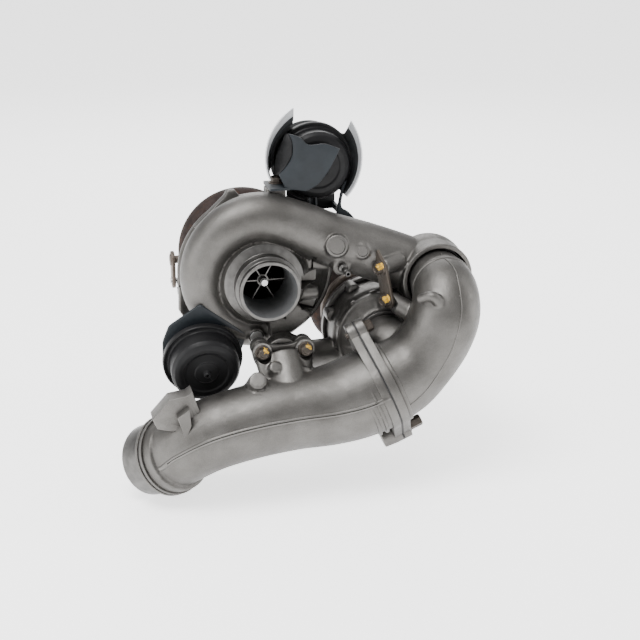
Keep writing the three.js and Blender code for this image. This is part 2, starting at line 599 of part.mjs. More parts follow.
function chargeAirElbow() {
  const plate = atJoint(jointPlate(0.7, 0.7 + JOINT.plate, PIPE_R - 2));
  const farSide = atJoint(block([60, 140, 160], [-29.3, 0, 0]));
  const mouth = [HP_X, HP_MOUTH_Y - GAP, HP_Z, 27];
  const branch = [[146, -92, -64, 24], [130, -80, -66, 25], [HP_X, -63, HP_Z, 27], mouth];
  const strapBoss = rod(fromStrap(STRAP.lower, 3), [146, -80, -38], 8.5, 10);
  const outer = cut(join(loft(ELBOW, 10, 0, 10), loft(branch, 4, 0, 9), strapBoss), farSide);
  const seatDisc = rod([0.7, 0, 0], [4, 0, 0], PIPE_R + 1, undefined, SIDES);
  const seat = atJoint(cut(seatDisc, rod([0, 0, 0], [5, 0, 0], FLAP_SEAT_R)));
  const inside = join(loft(ELBOW, 8, WALL, 8), loft(branch, 3, WALL + 1, 7));
  const end = rod([SOCKET.x, -45, SOCKET.z], [SOCKET.x, -60, SOCKET.z], 23.5);
  const screw = boltHole(fromStrap(STRAP.lower, -10), fromStrap(STRAP.lower, 2));
  return cut(join(cut(outer.add(plate), inside, end), seat), strapRoom(), screw);
}

// The spigot's own frame has +Y along its axis, out of the duct, and its origin at the collar's end.
const atSpigot = (made) => made.transform(standing(SPIGOT.at, SPIGOT.axis).elements);

const BYPASS = { hingeX: -4, hingeZ: 28, flapR: 26, pinR: 2, barrelR: 4, halfPin: 23 };
const PAD_BOLTS = [-1, 1].map((side) => [DUCT_PAD.x + side * DUCT_PAD.reach, DUCT_PAD.z]);

function outletDuct() {
  const plate = atJoint(jointPlate(-0.7 - JOINT.plate, -0.7, PIPE_R - 2));
  const lugZ = -JOINT.boltReach;
  const lowerLug = atJoint(rod([-22, JOINT.lugDepth, lugZ], [-1.7, JOINT.lugDepth, lugZ], 9, JOINT.lugR, 14));
  const lugHole = atJoint(boltHole([-14, JOINT.lugDepth, lugZ], [0, JOINT.lugDepth, lugZ]));
  const farSide = atJoint(block([60, 140, 160], [29.3, 0, 0]));
  const { collarR, seatR, endR, boreR, length } = SPIGOT;
  const spigot = atSpigot(turned([
    [0, -16], [34, -16], [collarR, -8], [collarR, 0], [seatR, 0],
    [seatR, 4.5], [endR, 4.5], [endR, length - 2],
    [endR - 1.5, length], [0, length],
  ]));
  const spigotWay = atSpigot(rod([0, -17, 0], [0, length + 1, 0], boreR, undefined, SIDES));
  const [padY, padZ] = [DUCT_PAD.y, DUCT_PAD.z - 8];
  const neck = rod([DUCT_PAD.x, padY, padZ], [DUCT_PAD.x + 2, -92, -90], 18);
  const neckWay = rod([DUCT_PAD.x, padY + 1, padZ], [DUCT_PAD.x + 2, -96, -96], PAD_PORT.boreR);
  const ears = PAD_BOLTS.map(([x, z]) => rod([x, padY - 8, z], [x, padY, z], 9));
  const webs = PAD_BOLTS.map(([x, z]) => rod([x, padY - 6, z], [x * 0.8, -88, -84], 7));
  const screws = PAD_BOLTS.map(([x, z]) => boltHole([x, padY - 9, z], [x, padY + 1, z]));
  const clip = rod([-78, -112, -112], [-86, -104, -94], 7, 5, 8);
  const { hingeX, hingeZ, pinR } = BYPASS;
  const pinWay = atJoint(rod([hingeX, -27, hingeZ], [hingeX, 27, hingeZ], pinR + GAP));
  const screwHeads = PAD_BOLTS.map(([x, z]) => rod([x, padY - 20, z], [x, padY - 8, z], 7.5));
  const behindPad = block([60, 30, 50], [DUCT_PAD.x, padY + 15, DUCT_PAD.z]);
  const outside = cut(join(loft(OUTLET, 11, 0, 11), neck, clip, ...webs), farSide, behindPad, ...screwHeads);
  const mouth = atJoint(rod([-9, 0, 0], [0, 0, 0], PIPE_R - 2, undefined, SIDES));
  const inside = join(loft(OUTLET, 9, WALL, 8), neckWay, spigotWay, mouth);
  return cut(join(outside, plate, lowerLug, spigot, ...ears), inside, lugHole, ...screws, pinWay);
}

// A hexagon-headed screw along +X with its head at x0, above the face at x1, and its tip at x2.
const headedScrew = (x0, x1, x2, acrossFlats) =>
  rod([x0 + 1, 0, 0], [x2, 0, 0], BOLT_R, undefined, 12).add(hexagon([x0, 0, 0], [x1, 0, 0], acrossFlats));

function buildJointPieces(group) {
  const joint = new THREE.Group();
  joint.position.set(...JOINT.at);
  joint.rotation.y = -radians(JOINT.tiltDeg);
  group.add(joint);
  node("duct_gasket", jointPlate(-0.4, 0.4, PIPE_R - 2), RUBBER, joint);
  const { hingeX, hingeZ, flapR, pinR, barrelR, halfPin } = BYPASS;
  const disc = rod([-2.6, 0, 0], [0.4, 0, 0], flapR, undefined, SIDES);
  const barrel = rod([hingeX, -10, hingeZ], [hingeX, 10, hingeZ], barrelR, undefined, 20);
  const web = block([3, 16, 14], [-1.5, 0, hingeZ - 8]);
  const pinWay = rod([hingeX, -11, hingeZ], [hingeX, 11, hingeZ], pinR + 0.08, undefined, 20);
  node("bypass_flap", cut(join(disc, barrel, web), pinWay), DARK_STEEL, joint);
  const pin = rod([hingeX, -halfPin, hingeZ], [hingeX, halfPin, hingeZ], pinR, undefined, 20);
  node("bypass_pin", pin, MACHINED, joint);
  const face = 0.7 + JOINT.plate + GAP;
  [["upper", 1, 9], ["lower", -1, 14]].forEach(([name, side, headLength]) => {
    const lug = [0, JOINT.lugDepth, side * JOINT.boltReach];
    const screw = headedScrew(face + headLength, face, -12, 10).translate(lug);
    node(`${name}_joint_bolt`, screw, BRONZE, joint);
  });
}

function buildSmallPipeParts(group) {
  const seal = ring(28.6, 29.7, -3, 0).translate([SOCKET.x, -52, SOCKET.z]);
  node("elbow_seal", seal, RUBBER, group);
  node("spigot_seal", atSpigot(ring(SPIGOT.seatR + 0.9, SPIGOT.endR + 0.8, 0.8, 3.8)), RUBBER, group);
  PAD_BOLTS.forEach(([x, z], i) => {
    const face = DUCT_PAD.y - 8 - GAP;
    const shank = rod([x, face - 1, z], [x, DUCT_PAD.y + 9, z], BOLT_R);
    const screw = hexagon([x, face - 6, z], [x, face, z], 10).add(shank);
    node(`pad_bolt_${i + 1}`, screw, BRONZE, group);
  });
  const { rootY, seatY, tipY } = NIPPLE;
  const collar = rod(onNipple(rootY), onNipple(seatY - 5), 4);
  const nipple = collar.add(rod(onNipple(seatY - 4), onNipple(tipY), 3.2, 2.4));
  node("boost_nipple", cut(nipple, rod(onNipple(rootY + 1), onNipple(tipY - 1), 1.5)), MACHINED, group);
}

// A flat strap on edge that ties the elbow to the discharge duct, with a pointed tail at its top.
function buildStrap(group) {
  const { upper, lower, thickness } = STRAP;
  const length = V(...upper).distanceTo(V(...lower));
  const outline = polygon([
    [-8, -length - 8], [8, -length - 8], [9, -length], [7, 0],
    [5, 8], [1.5, 17], [-4, 8], [-8, 3], [-9, -length],
  ]);
  const holes = [upper, lower].map((point) => boltHole(fromStrap(point, -3), fromStrap(point, 6)));
  node("support_strap", cut(onStrap(plateXZ(outline, 0, thickness)), ...holes), DARK_STEEL, group);
  for (const [name, point] of [["upper", upper], ["lower", lower]]) {
    const face = thickness + GAP;
    const head = rod(fromStrap(point, face + 6), fromStrap(point, face), 10 / Math.sqrt(3), undefined, 6);
    const screw = head.add(rod(fromStrap(point, face + 1), fromStrap(point, -8), BOLT_R, undefined, 12));
    node(`strap_bolt_${name}`, screw, BRONZE, group);
  }
}

// ---------------------------------------------------------------- actuators, each in its own frame
// +Y runs along the rod, away from the front can, and y = 0 is the rim between the two cans.
function spring(radius, wire, y0, y1, turns) {
  class Coil extends THREE.Curve {
    getPoint(t) {
      const a = 2 * Math.PI * turns * t;
      return V(radius * Math.cos(a), mix(y0, y1, t), radius * Math.sin(a));
    }
  }
  const section = new THREE.Shape().absarc(0, 0, wire / 2, 0, 2 * Math.PI);
  const options = { steps: turns * 8, curveSegments: 2, extrudePath: new Coil() };
  return solid(new THREE.ExtrudeGeometry(section, options));
}

const ROD_START = -CAN.frontLength + 3;

function buildCan(prefix, group, rodEnd) {
  const { rimR, frontR, rearR, frontLength, rearLength, rodR } = CAN;
  const front = turned([
    [0, -frontLength - 5], [3.5, -frontLength - 5], [3.5, -frontLength], [frontR - 8, -frontLength],
    [frontR, -frontLength + 5],
    [frontR, -3], [rimR, -3], [rimR, -GAP / 2], [frontR - 1.5, -GAP / 2], [frontR - 1.5, -frontLength + 6],
    [frontR - 9, -frontLength + 1.5], [1.5, -frontLength + 1.5],
    [1.5, -frontLength - 3], [0, -frontLength - 3],
  ]);
  const airWay = rod([0, -40, 0], [0, -20, 0], 1.4, undefined, 10);
  node(`${prefix}_can_front`, cut(front, airWay), BLACK_PAINT, group);
  const rear = turned([
    [frontR - 1.5, GAP / 2], [rimR, GAP / 2], [rimR, 3], [rearR, 3], [rearR - 2, rearLength], [9, rearLength],
    [9, rearLength + 5], [rodR + 1, rearLength + 5],
    [rodR + 1, rearLength - 1.5], [frontR - 4, rearLength - 1.5],
  ]);
  node(`${prefix}_can_rear`, rear, BLACK_PAINT, group);
  const back = -frontLength + 4;
  const plate = turned([
    [rodR + GAP, back], [27, back], [27, back + 9],
    [26, back + 9], [26, back + 1.5], [rodR + GAP, back + 1.5],
  ]);
  node(`${prefix}_diaphragm_plate`, plate, MACHINED, group);
  node(`${prefix}_return_spring`, spring(19, 2.4, back + 3.2, rearLength - 3.5, 4), DARK_STEEL, group);
  node(`${prefix}_rod`, rodEnd, MACHINED, group);
}

// A slotted lever on a spindle along +Z: the slot takes the rod's pin at the arm's reach.
function crank(reach, z0, z1, spindleEnd, slotSlack) {
  const pinR = 3;
  const outline = new THREE.Shape();
  outline.absarc(0, 0, 9, Math.PI / 2, -Math.PI / 2, false);
  outline.absarc(reach + slotSlack, 0, pinR + 4, -Math.PI / 2, Math.PI / 2, false);
  const slot = new THREE.Path();
  slot.absarc(reach - slotSlack, 0, pinR + 0.4, Math.PI / 2, -Math.PI / 2, false);
  slot.absarc(reach + slotSlack, 0, pinR + 0.4, -Math.PI / 2, Math.PI / 2, false);
  outline.holes.push(slot);
  const shape = { depth: z1 - z0, bevelEnabled: false, curveSegments: 4 };
  const geometry = new THREE.ExtrudeGeometry(outline, shape);
  const lever = solid(geometry, new THREE.Matrix4().setPosition(0, 0, z0));
  return lever.add(rod([0, 0, (z0 + z1) / 2], [0, 0, spindleEnd], 4, undefined, 20));
}

// A plain bush along Z for a spindle of 4 mm radius, whose facets' middles clear the spindle.
function bush(z0, z1) {
  const boreR = (4 + RUNNING) / Math.cos(Math.PI / 20);
  const upright = new THREE.Matrix4().makeRotationX(Math.PI / 2);
  return ring(boreR, 6, z0, z1, 20).transform(upright.elements);
}

// A bent round bar through a list of points, with a round elbow at each inner point.
function bar(points, radius) {
  let made = rod(points[0], points[1], radius, radius, 8);
  for (let i = 1; i < points.length - 1; i++) {
    made = made.add(ball(radius, points[i], 8)).add(rod(points[i], points[i + 1], radius, radius, 8));
  }
  return made;
}

// A pivot group whose Z axis is the spindle and whose X axis is the lever's arm at rest.
function pivotGroup(at, spindleAxis, armAxis, group) {
  const pivot = new THREE.Group();
  const across = spindleAxis.clone().cross(armAxis);
  pivot.quaternion.setFromRotationMatrix(new THREE.Matrix4().makeBasis(armAxis, across, spindleAxis));
  pivot.position.set(...at);
  group.add(pivot);
  return pivot;
}

// ---------------------------------------------------------------- wastegate on the LP turbine housing
function buildWastegate(group) {
  const tilt = radians(GATE_CAN.tiltDeg);
  const along = V(0, Math.cos(tilt), Math.sin(tilt));
  const toSpindle = V(0, GATE.spindleY - GATE_CAN.at[1], GATE.spindleZ - GATE_CAN.at[2]);
  const middle = toSpindle.dot(along);
  const arm = Math.sqrt(toSpindle.lengthSq() - middle * middle);
  const can = new THREE.Group();
  can.position.set(...GATE_CAN.at);
  can.rotation.x = tilt;
  group.add(can);
  const pinY = middle - GATE.stroke / 2;
  buildCan("wastegate", can, bar([[0, ROD_START, 0], [0, pinY, 0], [-9, pinY, 0]], CAN.rodR));
  const outline = polygon([[0, 52], [45, 15], [38, -8], [0, -36], [-36, -8], [-36, 14], [-30, 31]]);
  const front = CAN.rearLength + GAP;
  const neckWay = rod([0, 0, 0], [0, 30, 0], 9.7, undefined, SIDES);
  const plate = cut(plateXZ(outline, front, front + 3), neckWay);
  const onCan = new THREE.Matrix4().makeRotationX(tilt).setPosition(...GATE_CAN.at);
  const placed = plate.transform(onCan.elements);
  const rimWay = rod([0, -11, 0], [0, 1, 0], RIM_R + GAP);
  node("wastegate_bracket", cut(placed, lpVolute(-GAP), rimWay), BRACKET_BLACK, group);

  const leverX = GATE_CAN.at[0] - 4;
  const armAxis = V(0, Math.sin(tilt), -Math.cos(tilt)).applyAxisAngle(V(1, 0, 0), -GATE.stroke / 2 / arm);
  const pivot = pivotGroup([leverX, GATE.spindleY, GATE.spindleZ], V(1, 0, 0), armAxis, group);
  node("wastegate_crank", crank(arm, -3.5, 0, 50, 1.2), DARK_STEEL, pivot);
  node("wastegate_bush", bush(5, 15), BRONZE, pivot);

  const [x, z] = GATE.port;
  const seatY = CHAMBER.y[0] + GAP;
  const spindle = (from) => [from, GATE.spindleY, GATE.spindleZ];
  const hub = rod(spindle(x - 4), spindle(x + 5), 7.5);
  const spindleWay = rod(spindle(x - 5), spindle(x + 6), 4 + GAP);
  const disc = rod([x, seatY, z], [x, seatY + 3, z], GATE.flapR, undefined, 20);
  const link = rod([x, seatY + 3, z], [x, GATE.spindleY, GATE.spindleZ], 3.5);
  node("wastegate_flap", cut(join(disc, link, hub), spindleWay), DARK_STEEL, group);
}

// ---------------------------------------------------------------- exhaust flap in the crossover pipe
function buildExhaustFlap(group) {
  const { x, y, z, boreR, arm, stroke, crankZ } = FLAP;
  const can = new THREE.Group();
  can.position.set(...FLAP_CAN.at);
  group.add(can);
  const [cx, cy, cz] = FLAP_CAN.at;
  const pin = [x + arm - cx, y - stroke / 2 - cy];
  const level = crankZ + 10 - cz;
  const line = [
    [0, ROD_START, 0], [0, 46, 0], [pin[0], 82, level],
    [pin[0], pin[1], level], [pin[0], pin[1], level - 11.5],
  ];
  buildCan("exhaust_flap", can, bar(line, CAN.rodR));

  const armAxis = V(1, 0, 0).applyAxisAngle(V(0, 0, 1), -stroke / 2 / arm);
  const pivot = pivotGroup([x, y, crankZ], V(0, 0, -1), armAxis, group);
  node("exhaust_flap_crank", crank(arm, -3.5, 0, crankZ - z + 14, 2), DARK_STEEL, pivot);
  node("exhaust_flap_bush", bush(1, 12), BRONZE, pivot);
  const disc = rod([x, y - 1.5, z], [x, y + 1.5, z], boreR - 0.8, undefined, SIDES);
  const hub = rod([x, y, z - 15], [x, y, z + 15], 6.5);
  const flap = cut(disc.add(hub), rod([x, y, z - 19], [x, y, z + 19], 4 + GAP));
  node("exhaust_flap", flap, DARK_STEEL, group);
}

// The sheet bracket in front of the exhaust flap's can, standing on the LP compressor housing.
function buildSaddleBracket(group) {
  const [cx, cy, cz] = FLAP_CAN.at;
  const front = cy - CAN.frontLength - 13;
  const sheet = new THREE.Shape();
  sheet.moveTo(29, 140);
  sheet.quadraticCurveTo(52, 118, 77, 122);
  sheet.quadraticCurveTo(66, 104, 50, 83.3);
  sheet.lineTo(30, 83.3);
  sheet.quadraticCurveTo(37, 108, 29, 140);
  const plate = plateXZ(sheet, front, front + 2.5);
  const tabTop = 86;
  const foot = block([19, 4 - front, 2.7], [19.5, (front + 4) / 2, tabTop - 1.35]);
  const tab = foot.add(block([40, 8, 2.7], [30, front + 4, tabTop - 1.35]));
  const canFace = cy - CAN.frontLength - GAP;
  const spacers = [[-14, 8], [-12, -10], [6, 14]].map(([x, z]) => {
    return rod([cx + x, front + 2, cz + z], [cx + x, canFace, cz + z], 3.5, undefined, 10);
  });
  const hole = boltHole([20, -6, 80], [20, -6, 90]);
  node("saddle_bracket", cut(join(plate, tab, ...spacers), hole), BRACKET_BLACK, group);
  const shank = rod([20, -6, 66], [20, -6, tabTop + 1], BOLT_R, undefined, 12);
  const screw = hexagon([20, -6, tabTop + GAP], [20, -6, tabTop + 6], 10).add(shank);
  node("saddle_bracket_bolt", screw, BRONZE, group);
  const outline = polygon([
    [81, 84], [90, 84], [86, 62], [88, 54], [108, 45], [106, 40], [75, 44], [79, 62],
  ]);
  const rimWay = rod([0, -9, 0], [0, 1, 0], RIM_R + GAP);
  const canWay = rod([cx, -16, cz], [cx, 0, cz], CAN.frontR + 1, undefined, SIDES);
  const blade = cut(plateXZ(outline, -8, -5), lpVolute(-GAP), rimWay, canWay);
  const web = block([3, 27.5, 6], [83, 6.75, 54]);
  const panel = block([28, 1.5, 16], [70.5, 20, 58]);
  const strut = join(blade, web, panel);
  node("exhaust_flap_strut", strut, BRACKET_BLACK, group);
}

// The sheet heat shield round the exhaust flap's can, open at the top between two horns.
function buildHeatShield(group) {
  const { x, z, outerR, sheet, y } = SHIELD;
  const innerR = outerR - sheet;
  const wall = (from, to) => {
    const shape = new THREE.Shape();
    shape.absarc(x, z, outerR, radians(from), radians(to), false);
    shape.absarc(x, z, innerR, radians(to), radians(from), true);
    return plateXZ(shape, y[0], y[1], 5);
  };
  const horn = (angle, tip) => {
    const a = radians(angle);
    const edge = (r) => [x + r * Math.cos(a), z + r * Math.sin(a)];
    return plateXZ(polygon([edge(innerR), edge(outerR), tip]), y[0], y[1] - 8);
  };
  const open = new THREE.Shape();
  open.absarc(x, z, outerR + 5, radians(55), radians(108), false);
  open.absarc(x, z, 36, radians(108), radians(55), true);
  const disc = ring(14, outerR - 0.5, y[1] - sheet, y[1]).translate([x, 0, z]);
  const back = cut(disc, plateXZ(open, y[1] - 2 * sheet, y[1] + 1, 5));
  const made = join(back, wall(112, 188), wall(-28, 50), horn(115, [33, 160]), horn(50, [88, 146]));
  node("heat_shield", made, SHEET_STEEL, group);
}

// ---------------------------------------------------------------- the assembly
const highPressure = new THREE.Group();
highPressure.position.set(HP_X, 0, HP_Z);
unit.add(highPressure);

buildLowPressureStage(unit);
buildClampPlate(unit);
buildHighPressureStage(highPressure);
node("crossover_pipe", crossoverPipe(), CAST_IRON, unit);
node("charge_air_elbow", chargeAirElbow(), CAST_ALUMINIUM, unit);
node("outlet_duct", outletDuct(), CAST_ALUMINIUM, unit);
buildJointPieces(unit);
buildSmallPipeParts(unit);
buildStrap(unit);
buildWastegate(unit);
buildExhaustFlap(unit);
buildSaddleBracket(unit);
buildHeatShield(unit);

export default root;
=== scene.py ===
"""Two-stage diesel turbocharger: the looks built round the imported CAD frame.

Shapes are modelled in millimetres about the low-pressure (LP) rotor's axis, with +X to the right, +Y back
along the rotors and +Z up, and are then moved into the frame. The high-pressure (HP) rotor lies beside and
below it.
"""
import json
import math

import bmesh
import bpy
import numpy as np
from mathutils import Matrix, Vector


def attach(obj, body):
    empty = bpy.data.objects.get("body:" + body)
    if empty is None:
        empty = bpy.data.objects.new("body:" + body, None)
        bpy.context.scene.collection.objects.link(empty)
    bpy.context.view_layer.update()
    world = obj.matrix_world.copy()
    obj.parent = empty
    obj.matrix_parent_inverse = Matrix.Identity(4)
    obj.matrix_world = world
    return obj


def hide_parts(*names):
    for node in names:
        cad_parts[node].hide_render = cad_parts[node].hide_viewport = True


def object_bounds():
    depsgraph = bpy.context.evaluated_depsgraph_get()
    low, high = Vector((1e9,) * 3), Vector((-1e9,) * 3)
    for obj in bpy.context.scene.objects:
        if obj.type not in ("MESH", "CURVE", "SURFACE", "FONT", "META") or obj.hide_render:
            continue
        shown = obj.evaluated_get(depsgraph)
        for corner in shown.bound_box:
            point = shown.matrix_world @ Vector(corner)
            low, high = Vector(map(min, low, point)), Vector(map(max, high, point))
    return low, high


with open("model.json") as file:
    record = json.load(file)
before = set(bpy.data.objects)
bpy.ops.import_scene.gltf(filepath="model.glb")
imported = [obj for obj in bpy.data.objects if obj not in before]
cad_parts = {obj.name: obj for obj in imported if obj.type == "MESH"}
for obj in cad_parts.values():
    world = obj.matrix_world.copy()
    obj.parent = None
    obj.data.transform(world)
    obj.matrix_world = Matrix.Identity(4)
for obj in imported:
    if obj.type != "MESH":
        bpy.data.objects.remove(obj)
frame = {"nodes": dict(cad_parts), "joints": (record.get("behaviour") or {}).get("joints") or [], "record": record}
CAD_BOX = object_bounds()

# ---------------------------------------------------------------- the frame, in millimetres
JOINTS = {joint["name"]: joint for joint in frame["joints"]}
LP_AXIS = Vector(JOINTS["large_rotor_spin"]["pos_m"])
HP_AXIS = Vector(JOINTS["small_rotor_spin"]["pos_m"])
INTO_FRAME = Matrix.Translation(LP_AXIS) @ Matrix.Scale(0.001, 4)
HP = (HP_AXIS - LP_AXIS) * 1000
HPX, HPZ = HP.x, HP.z

# ---------------------------------------------------------------- driving dimensions
# How finely a casting is rebuilt, and where its shading breaks.
CAST_VOXEL = 1.0
SHARP_ANGLE = math.radians(38)

# M6 screws: shank, size across the head's flats, and the holes that they go through.
M6_R = 3.0
M6_ACROSS = 10
HOLE_R = 3.3

# The large compressor's back rim and its clamp screws, its volute, and the duct from there to the bulb
# that holds the elbow's socket.
# Stations along a pipe are (x, y, z, radius).
RIM_R = 76.5
RIM_CAD = 74
CLAMP_SCREWS = [(-64.5, 13), (-64.5, -13)]
VOLUTE = {"start": -27, "sweep": 243, "reach": (54, 59), "y": (-18, -28), "tube": (12, 24), "count": 16}
DISCHARGE = [
    (34, -29, 48.5, 24.5), (65, -30, 35, 25), (100, -30, 21.5, 26.5), (135, -31, 7.5, 27),
    (162, -32, -4, 27),
]
BULB = Vector((166, -32, -4.5))
BULB_R = 36.5
SOCKET_RIM_Y = -62

# The elbow, the outlet duct and the tilted joint between them.
ELBOW = [
    (166, -46, -4.5, 27.5), (166, -66, -4.5, 28), (165.5, -84, -10, 31), (162, -96, -26, 33),
    (154, -98, -47, 33.5), (139, -97, -69, 34.5), (121, -97, -84.5, 37.5), (92, -97, -98, 40),
]
OUTLET = [
    (107, -97, -91, 41), (75, -98, -102, 40), (50, -99, -107, 38), (15, -100, -110, 35.5),
    (-26, -101, -115, 34.5), (-62, -99, -124, 34), (-85, -90, -137, 34.5), (-97, -81, -148, 34),
]
JOINT_AT = Vector((101, -97, -94))
JOINT_TILT = math.radians(23)
JOINT_PLATE = 8
JOINT_GAP = 0.7

# The hose spigot's foot and direction, and the pad with two bolts on the small compressor's outlet.
SPIGOT_AT = Vector((-102, -75, -153))
SPIGOT_AXIS = Vector((-0.54, 0.71, -0.45)).normalized()
PAD = Vector((11, -69, -57))
PAD_REACH = 20.5

# The two vacuum cans' rims, the heat shield, the large turbine's outlet chamber, and the spindles, flap and
# port that the cans work on.
GATE_CAN = Vector((-61.5, -47, -70))
GATE_TILT = math.radians(11)
FLAP_CAN = Vector((60, 10, 101))
SHIELD_AT = Vector((57.5, 0, 101))
SHIELD_BACK = 36.5
FLARE_FROM = 0.45
CHAMBER = Vector((-4, 126, -6))
FLAP_AXIS = Vector((66, 114, 0))
FLAP_MIDDLE_Z = -2
GATE_Y, GATE_Z = 104, -18
GATE_PORT = (-19, -28)


# ---------------------------------------------------------------- materials
class Nodes:
    """Small helper that adds and links shader nodes."""

    def __init__(self, name):
        self.material = bpy.data.materials.new(name)
        self.material.use_nodes = True
        self.tree = self.material.node_tree
        self.shader = self.tree.nodes["Principled BSDF"]
        self.place = self.add("ShaderNodeTexCoord").outputs["Object"]

    def add(self, kind, **settings):
        node = self.tree.nodes.new(kind)
        for key, value in settings.items():
            setattr(node, key, value)
        return node

    def link(self, source, target):
        self.tree.links.new(source, target)

    def noise(self, scale, detail, rough=0.55, stretch=None):
        node = self.add("ShaderNodeTexNoise")
        node.inputs["Scale"].default_value = scale
        node.inputs["Detail"].default_value = detail
        node.inputs["Roughness"].default_value = rough
        place = self.place
        if stretch:
            mapping = self.add("ShaderNodeMapping")
            mapping.inputs["Scale"].default_value = stretch
            self.link(self.place, mapping.inputs["Vector"])
            place = mapping.outputs["Vector"]
        self.link(place, node.inputs["Vector"])
        return node.outputs["Fac"]

    def ramp(self, source, stops):
        """stops are (position, value or colour)."""
        node = self.add("ShaderNodeValToRGB")
        elements = node.color_ramp.elements
        while len(elements) < len(stops):
            elements.new(0.5)
        for element, (position, value) in zip(elements, stops):
            element.position = position
            colour = value if hasattr(value, "__len__") else (value, value, value)
            element.color = (*colour, 1)
        self.link(source, node.inputs["Fac"])
        return node.outputs["Color"]

    def mixed(self, amount, first, second, blend="MIX"):
        node = self.add("ShaderNodeMix", data_type="RGBA", blend_type=blend)
        for value, socket in ((amount, 0), (first, 6), (second, 7)):
            if isinstance(value, bpy.types.NodeSocket):
                self.link(value, node.inputs[socket])
            elif socket == 0:
                node.inputs[socket].default_value = value
            else:
                node.inputs[socket].default_value = (*value, 1)
        return node.outputs[2]

    def bump(self, heights):
        """heights is a list of (source, strength, distance in metres), stacked."""
        normal = None
        for source, strength, distance in heights:
            node = self.add("ShaderNodeBump")
            node.inputs["Strength"].default_value = strength
            node.inputs["Distance"].default_value = distance
            self.link(source, node.inputs["Height"])
            if normal:
                self.link(normal, node.inputs["Normal"])
            normal = node.outputs["Normal"]
        self.link(normal, self.shader.inputs["Normal"])

    def edges(self, low, high):
        """Bright on sharp outer edges, dark in hollows, from the mesh's pointiness."""
        geometry = self.add("ShaderNodeNewGeometry")
        return self.ramp(geometry.outputs["Pointiness"], [(low, 0.0), (high, 1.0)])

    def set(self, metallic, roughness=None, colour=None, specular=None, coat=None):
        inputs = self.shader.inputs
        inputs["Metallic"].default_value = metallic
        if roughness is not None:
            inputs["Roughness"].default_value = roughness
        if colour is not None:
            inputs["Base Color"].default_value = (*colour, 1)
        if specular is not None:
            inputs["Specular IOR Level"].default_value = specular
        if coat is not None:
            inputs["Coat Weight"].default_value = coat[0]
            inputs["Coat Roughness"].default_value = coat[1]


def cast_metal(name, dark, light, metallic, rough, grain, hollow_shade):
    """A blasted casting: patches of tone, a fine grain, pits, and painted shade in its hollows."""
    m = Nodes(name)
    patches = m.ramp(m.noise(28, 5), [(0.32, dark), (0.68, light)])
    grains = m.ramp(m.noise(1500, 2), [(0.3, 0.72), (0.7, 1.12)])
    toned = m.mixed(0.55, patches, grains, "MULTIPLY")
    # Painted shade: the dark colour mixed in here darkens the mesh's hollows, where shade falls.
    hollow = m.ramp(m.add("ShaderNodeNewGeometry").outputs["Pointiness"], [(0.44, 0.0), (0.49, 1.0)])
    shaded_hollows = m.mixed(hollow, hollow_shade, toned)
    edge = m.edges(0.52, 0.6)
    worn = m.mixed(edge, shaded_hollows, tuple(min(1, 1.35 * c) for c in light))
    m.link(worn, m.shader.inputs["Base Color"])
    roughness = m.ramp(m.noise(90, 4), [(0.3, rough - 0.06), (0.7, rough + 0.09)])
    m.link(roughness, m.shader.inputs["Roughness"])
    m.bump([(m.noise(260, 3), 0.25, 0.0006 * grain), (m.noise(1700, 2), 0.5, 0.00022 * grain)])
    m.set(metallic)
    return m.material


def turned_metal(name, dark, light, rough, pitch=0.0004):
    """Cut metal with fine tool marks."""
    m = Nodes(name)
    wave = m.add("ShaderNodeTexWave", wave_type="RINGS", rings_direction="Y")
    wave.inputs["Scale"].default_value = 1 / (pitch * 20)
    wave.inputs["Distortion"].default_value = 1.5
    m.link(m.place, wave.inputs["Vector"])
    tone = m.ramp(m.noise(120, 4), [(0.3, dark), (0.7, light)])
    m.link(tone, m.shader.inputs["Base Color"])
    roughness = m.ramp(m.noise(300, 3), [(0.3, rough - 0.05), (0.7, rough + 0.08)])
    m.link(roughness, m.shader.inputs["Roughness"])
    m.bump([(wave.outputs["Fac"], 0.06, 0.00004), (m.noise(900, 2), 0.06, 0.00005)])
    m.set(1.0)
    return m.material


def rusty_metal(name, base, rust, amount, rough=0.75):
    """Heat-browned iron or steel: brown film, orange rust patches and scale."""
    m = Nodes(name)
    film = m.ramp(m.noise(60, 6, 0.65), [(0.35, base), (0.62, tuple(1.7 * c for c in base))])
    spots = m.ramp(m.noise(140, 8, 0.7), [(0.62 - amount, 0.0), (0.75 - amount * 0.6, 1.0)])
    toned = m.mixed(spots, film, rust)
    edge = m.edges(0.53, 0.62)
    worn = m.mixed(edge, toned, tuple(min(1, 2.4 * c) for c in base))
    m.link(worn, m.shader.inputs["Base Color"])
    roughness = m.ramp(m.noise(200, 5), [(0.3, rough - 0.12), (0.7, min(1, rough + 0.1))])
    m.link(roughness, m.shader.inputs["Roughness"])
    m.bump([(m.noise(320, 4), 0.4, 0.0005), (m.noise(1300, 3), 0.6, 0.00025)])
    m.set(0.55)
    return m.material


def coated_metal(name, colour, rough, coat, wear, specular):
    """Painted or dipped sheet, with a light orange peel and worn, brighter edges. It also gives dark surfaces that
    are painted shade.
    """
    m = Nodes(name)
    darker, lighter = (tuple(share * c for c in colour) for share in (0.85, 1.2))
    tone = m.ramp(m.noise(45, 4), [(0.35, darker), (0.7, lighter)])
    edge = m.edges(0.535, 0.62)
    worn = m.mixed(edge, tone, tuple(min(1, c + wear) for c in colour))
    m.link(worn, m.shader.inputs["Base Color"])
    roughness = m.ramp(m.noise(130, 5), [(0.3, rough - 0.05), (0.7, rough + 0.1)])
    m.link(roughness, m.shader.inputs["Roughness"])
    m.bump([(m.noise(700, 2), 0.2, 0.00008), (m.noise(60, 2), 0.1, 0.0003)])
    m.set(0.0, specular=specular, coat=coat)
    return m.material


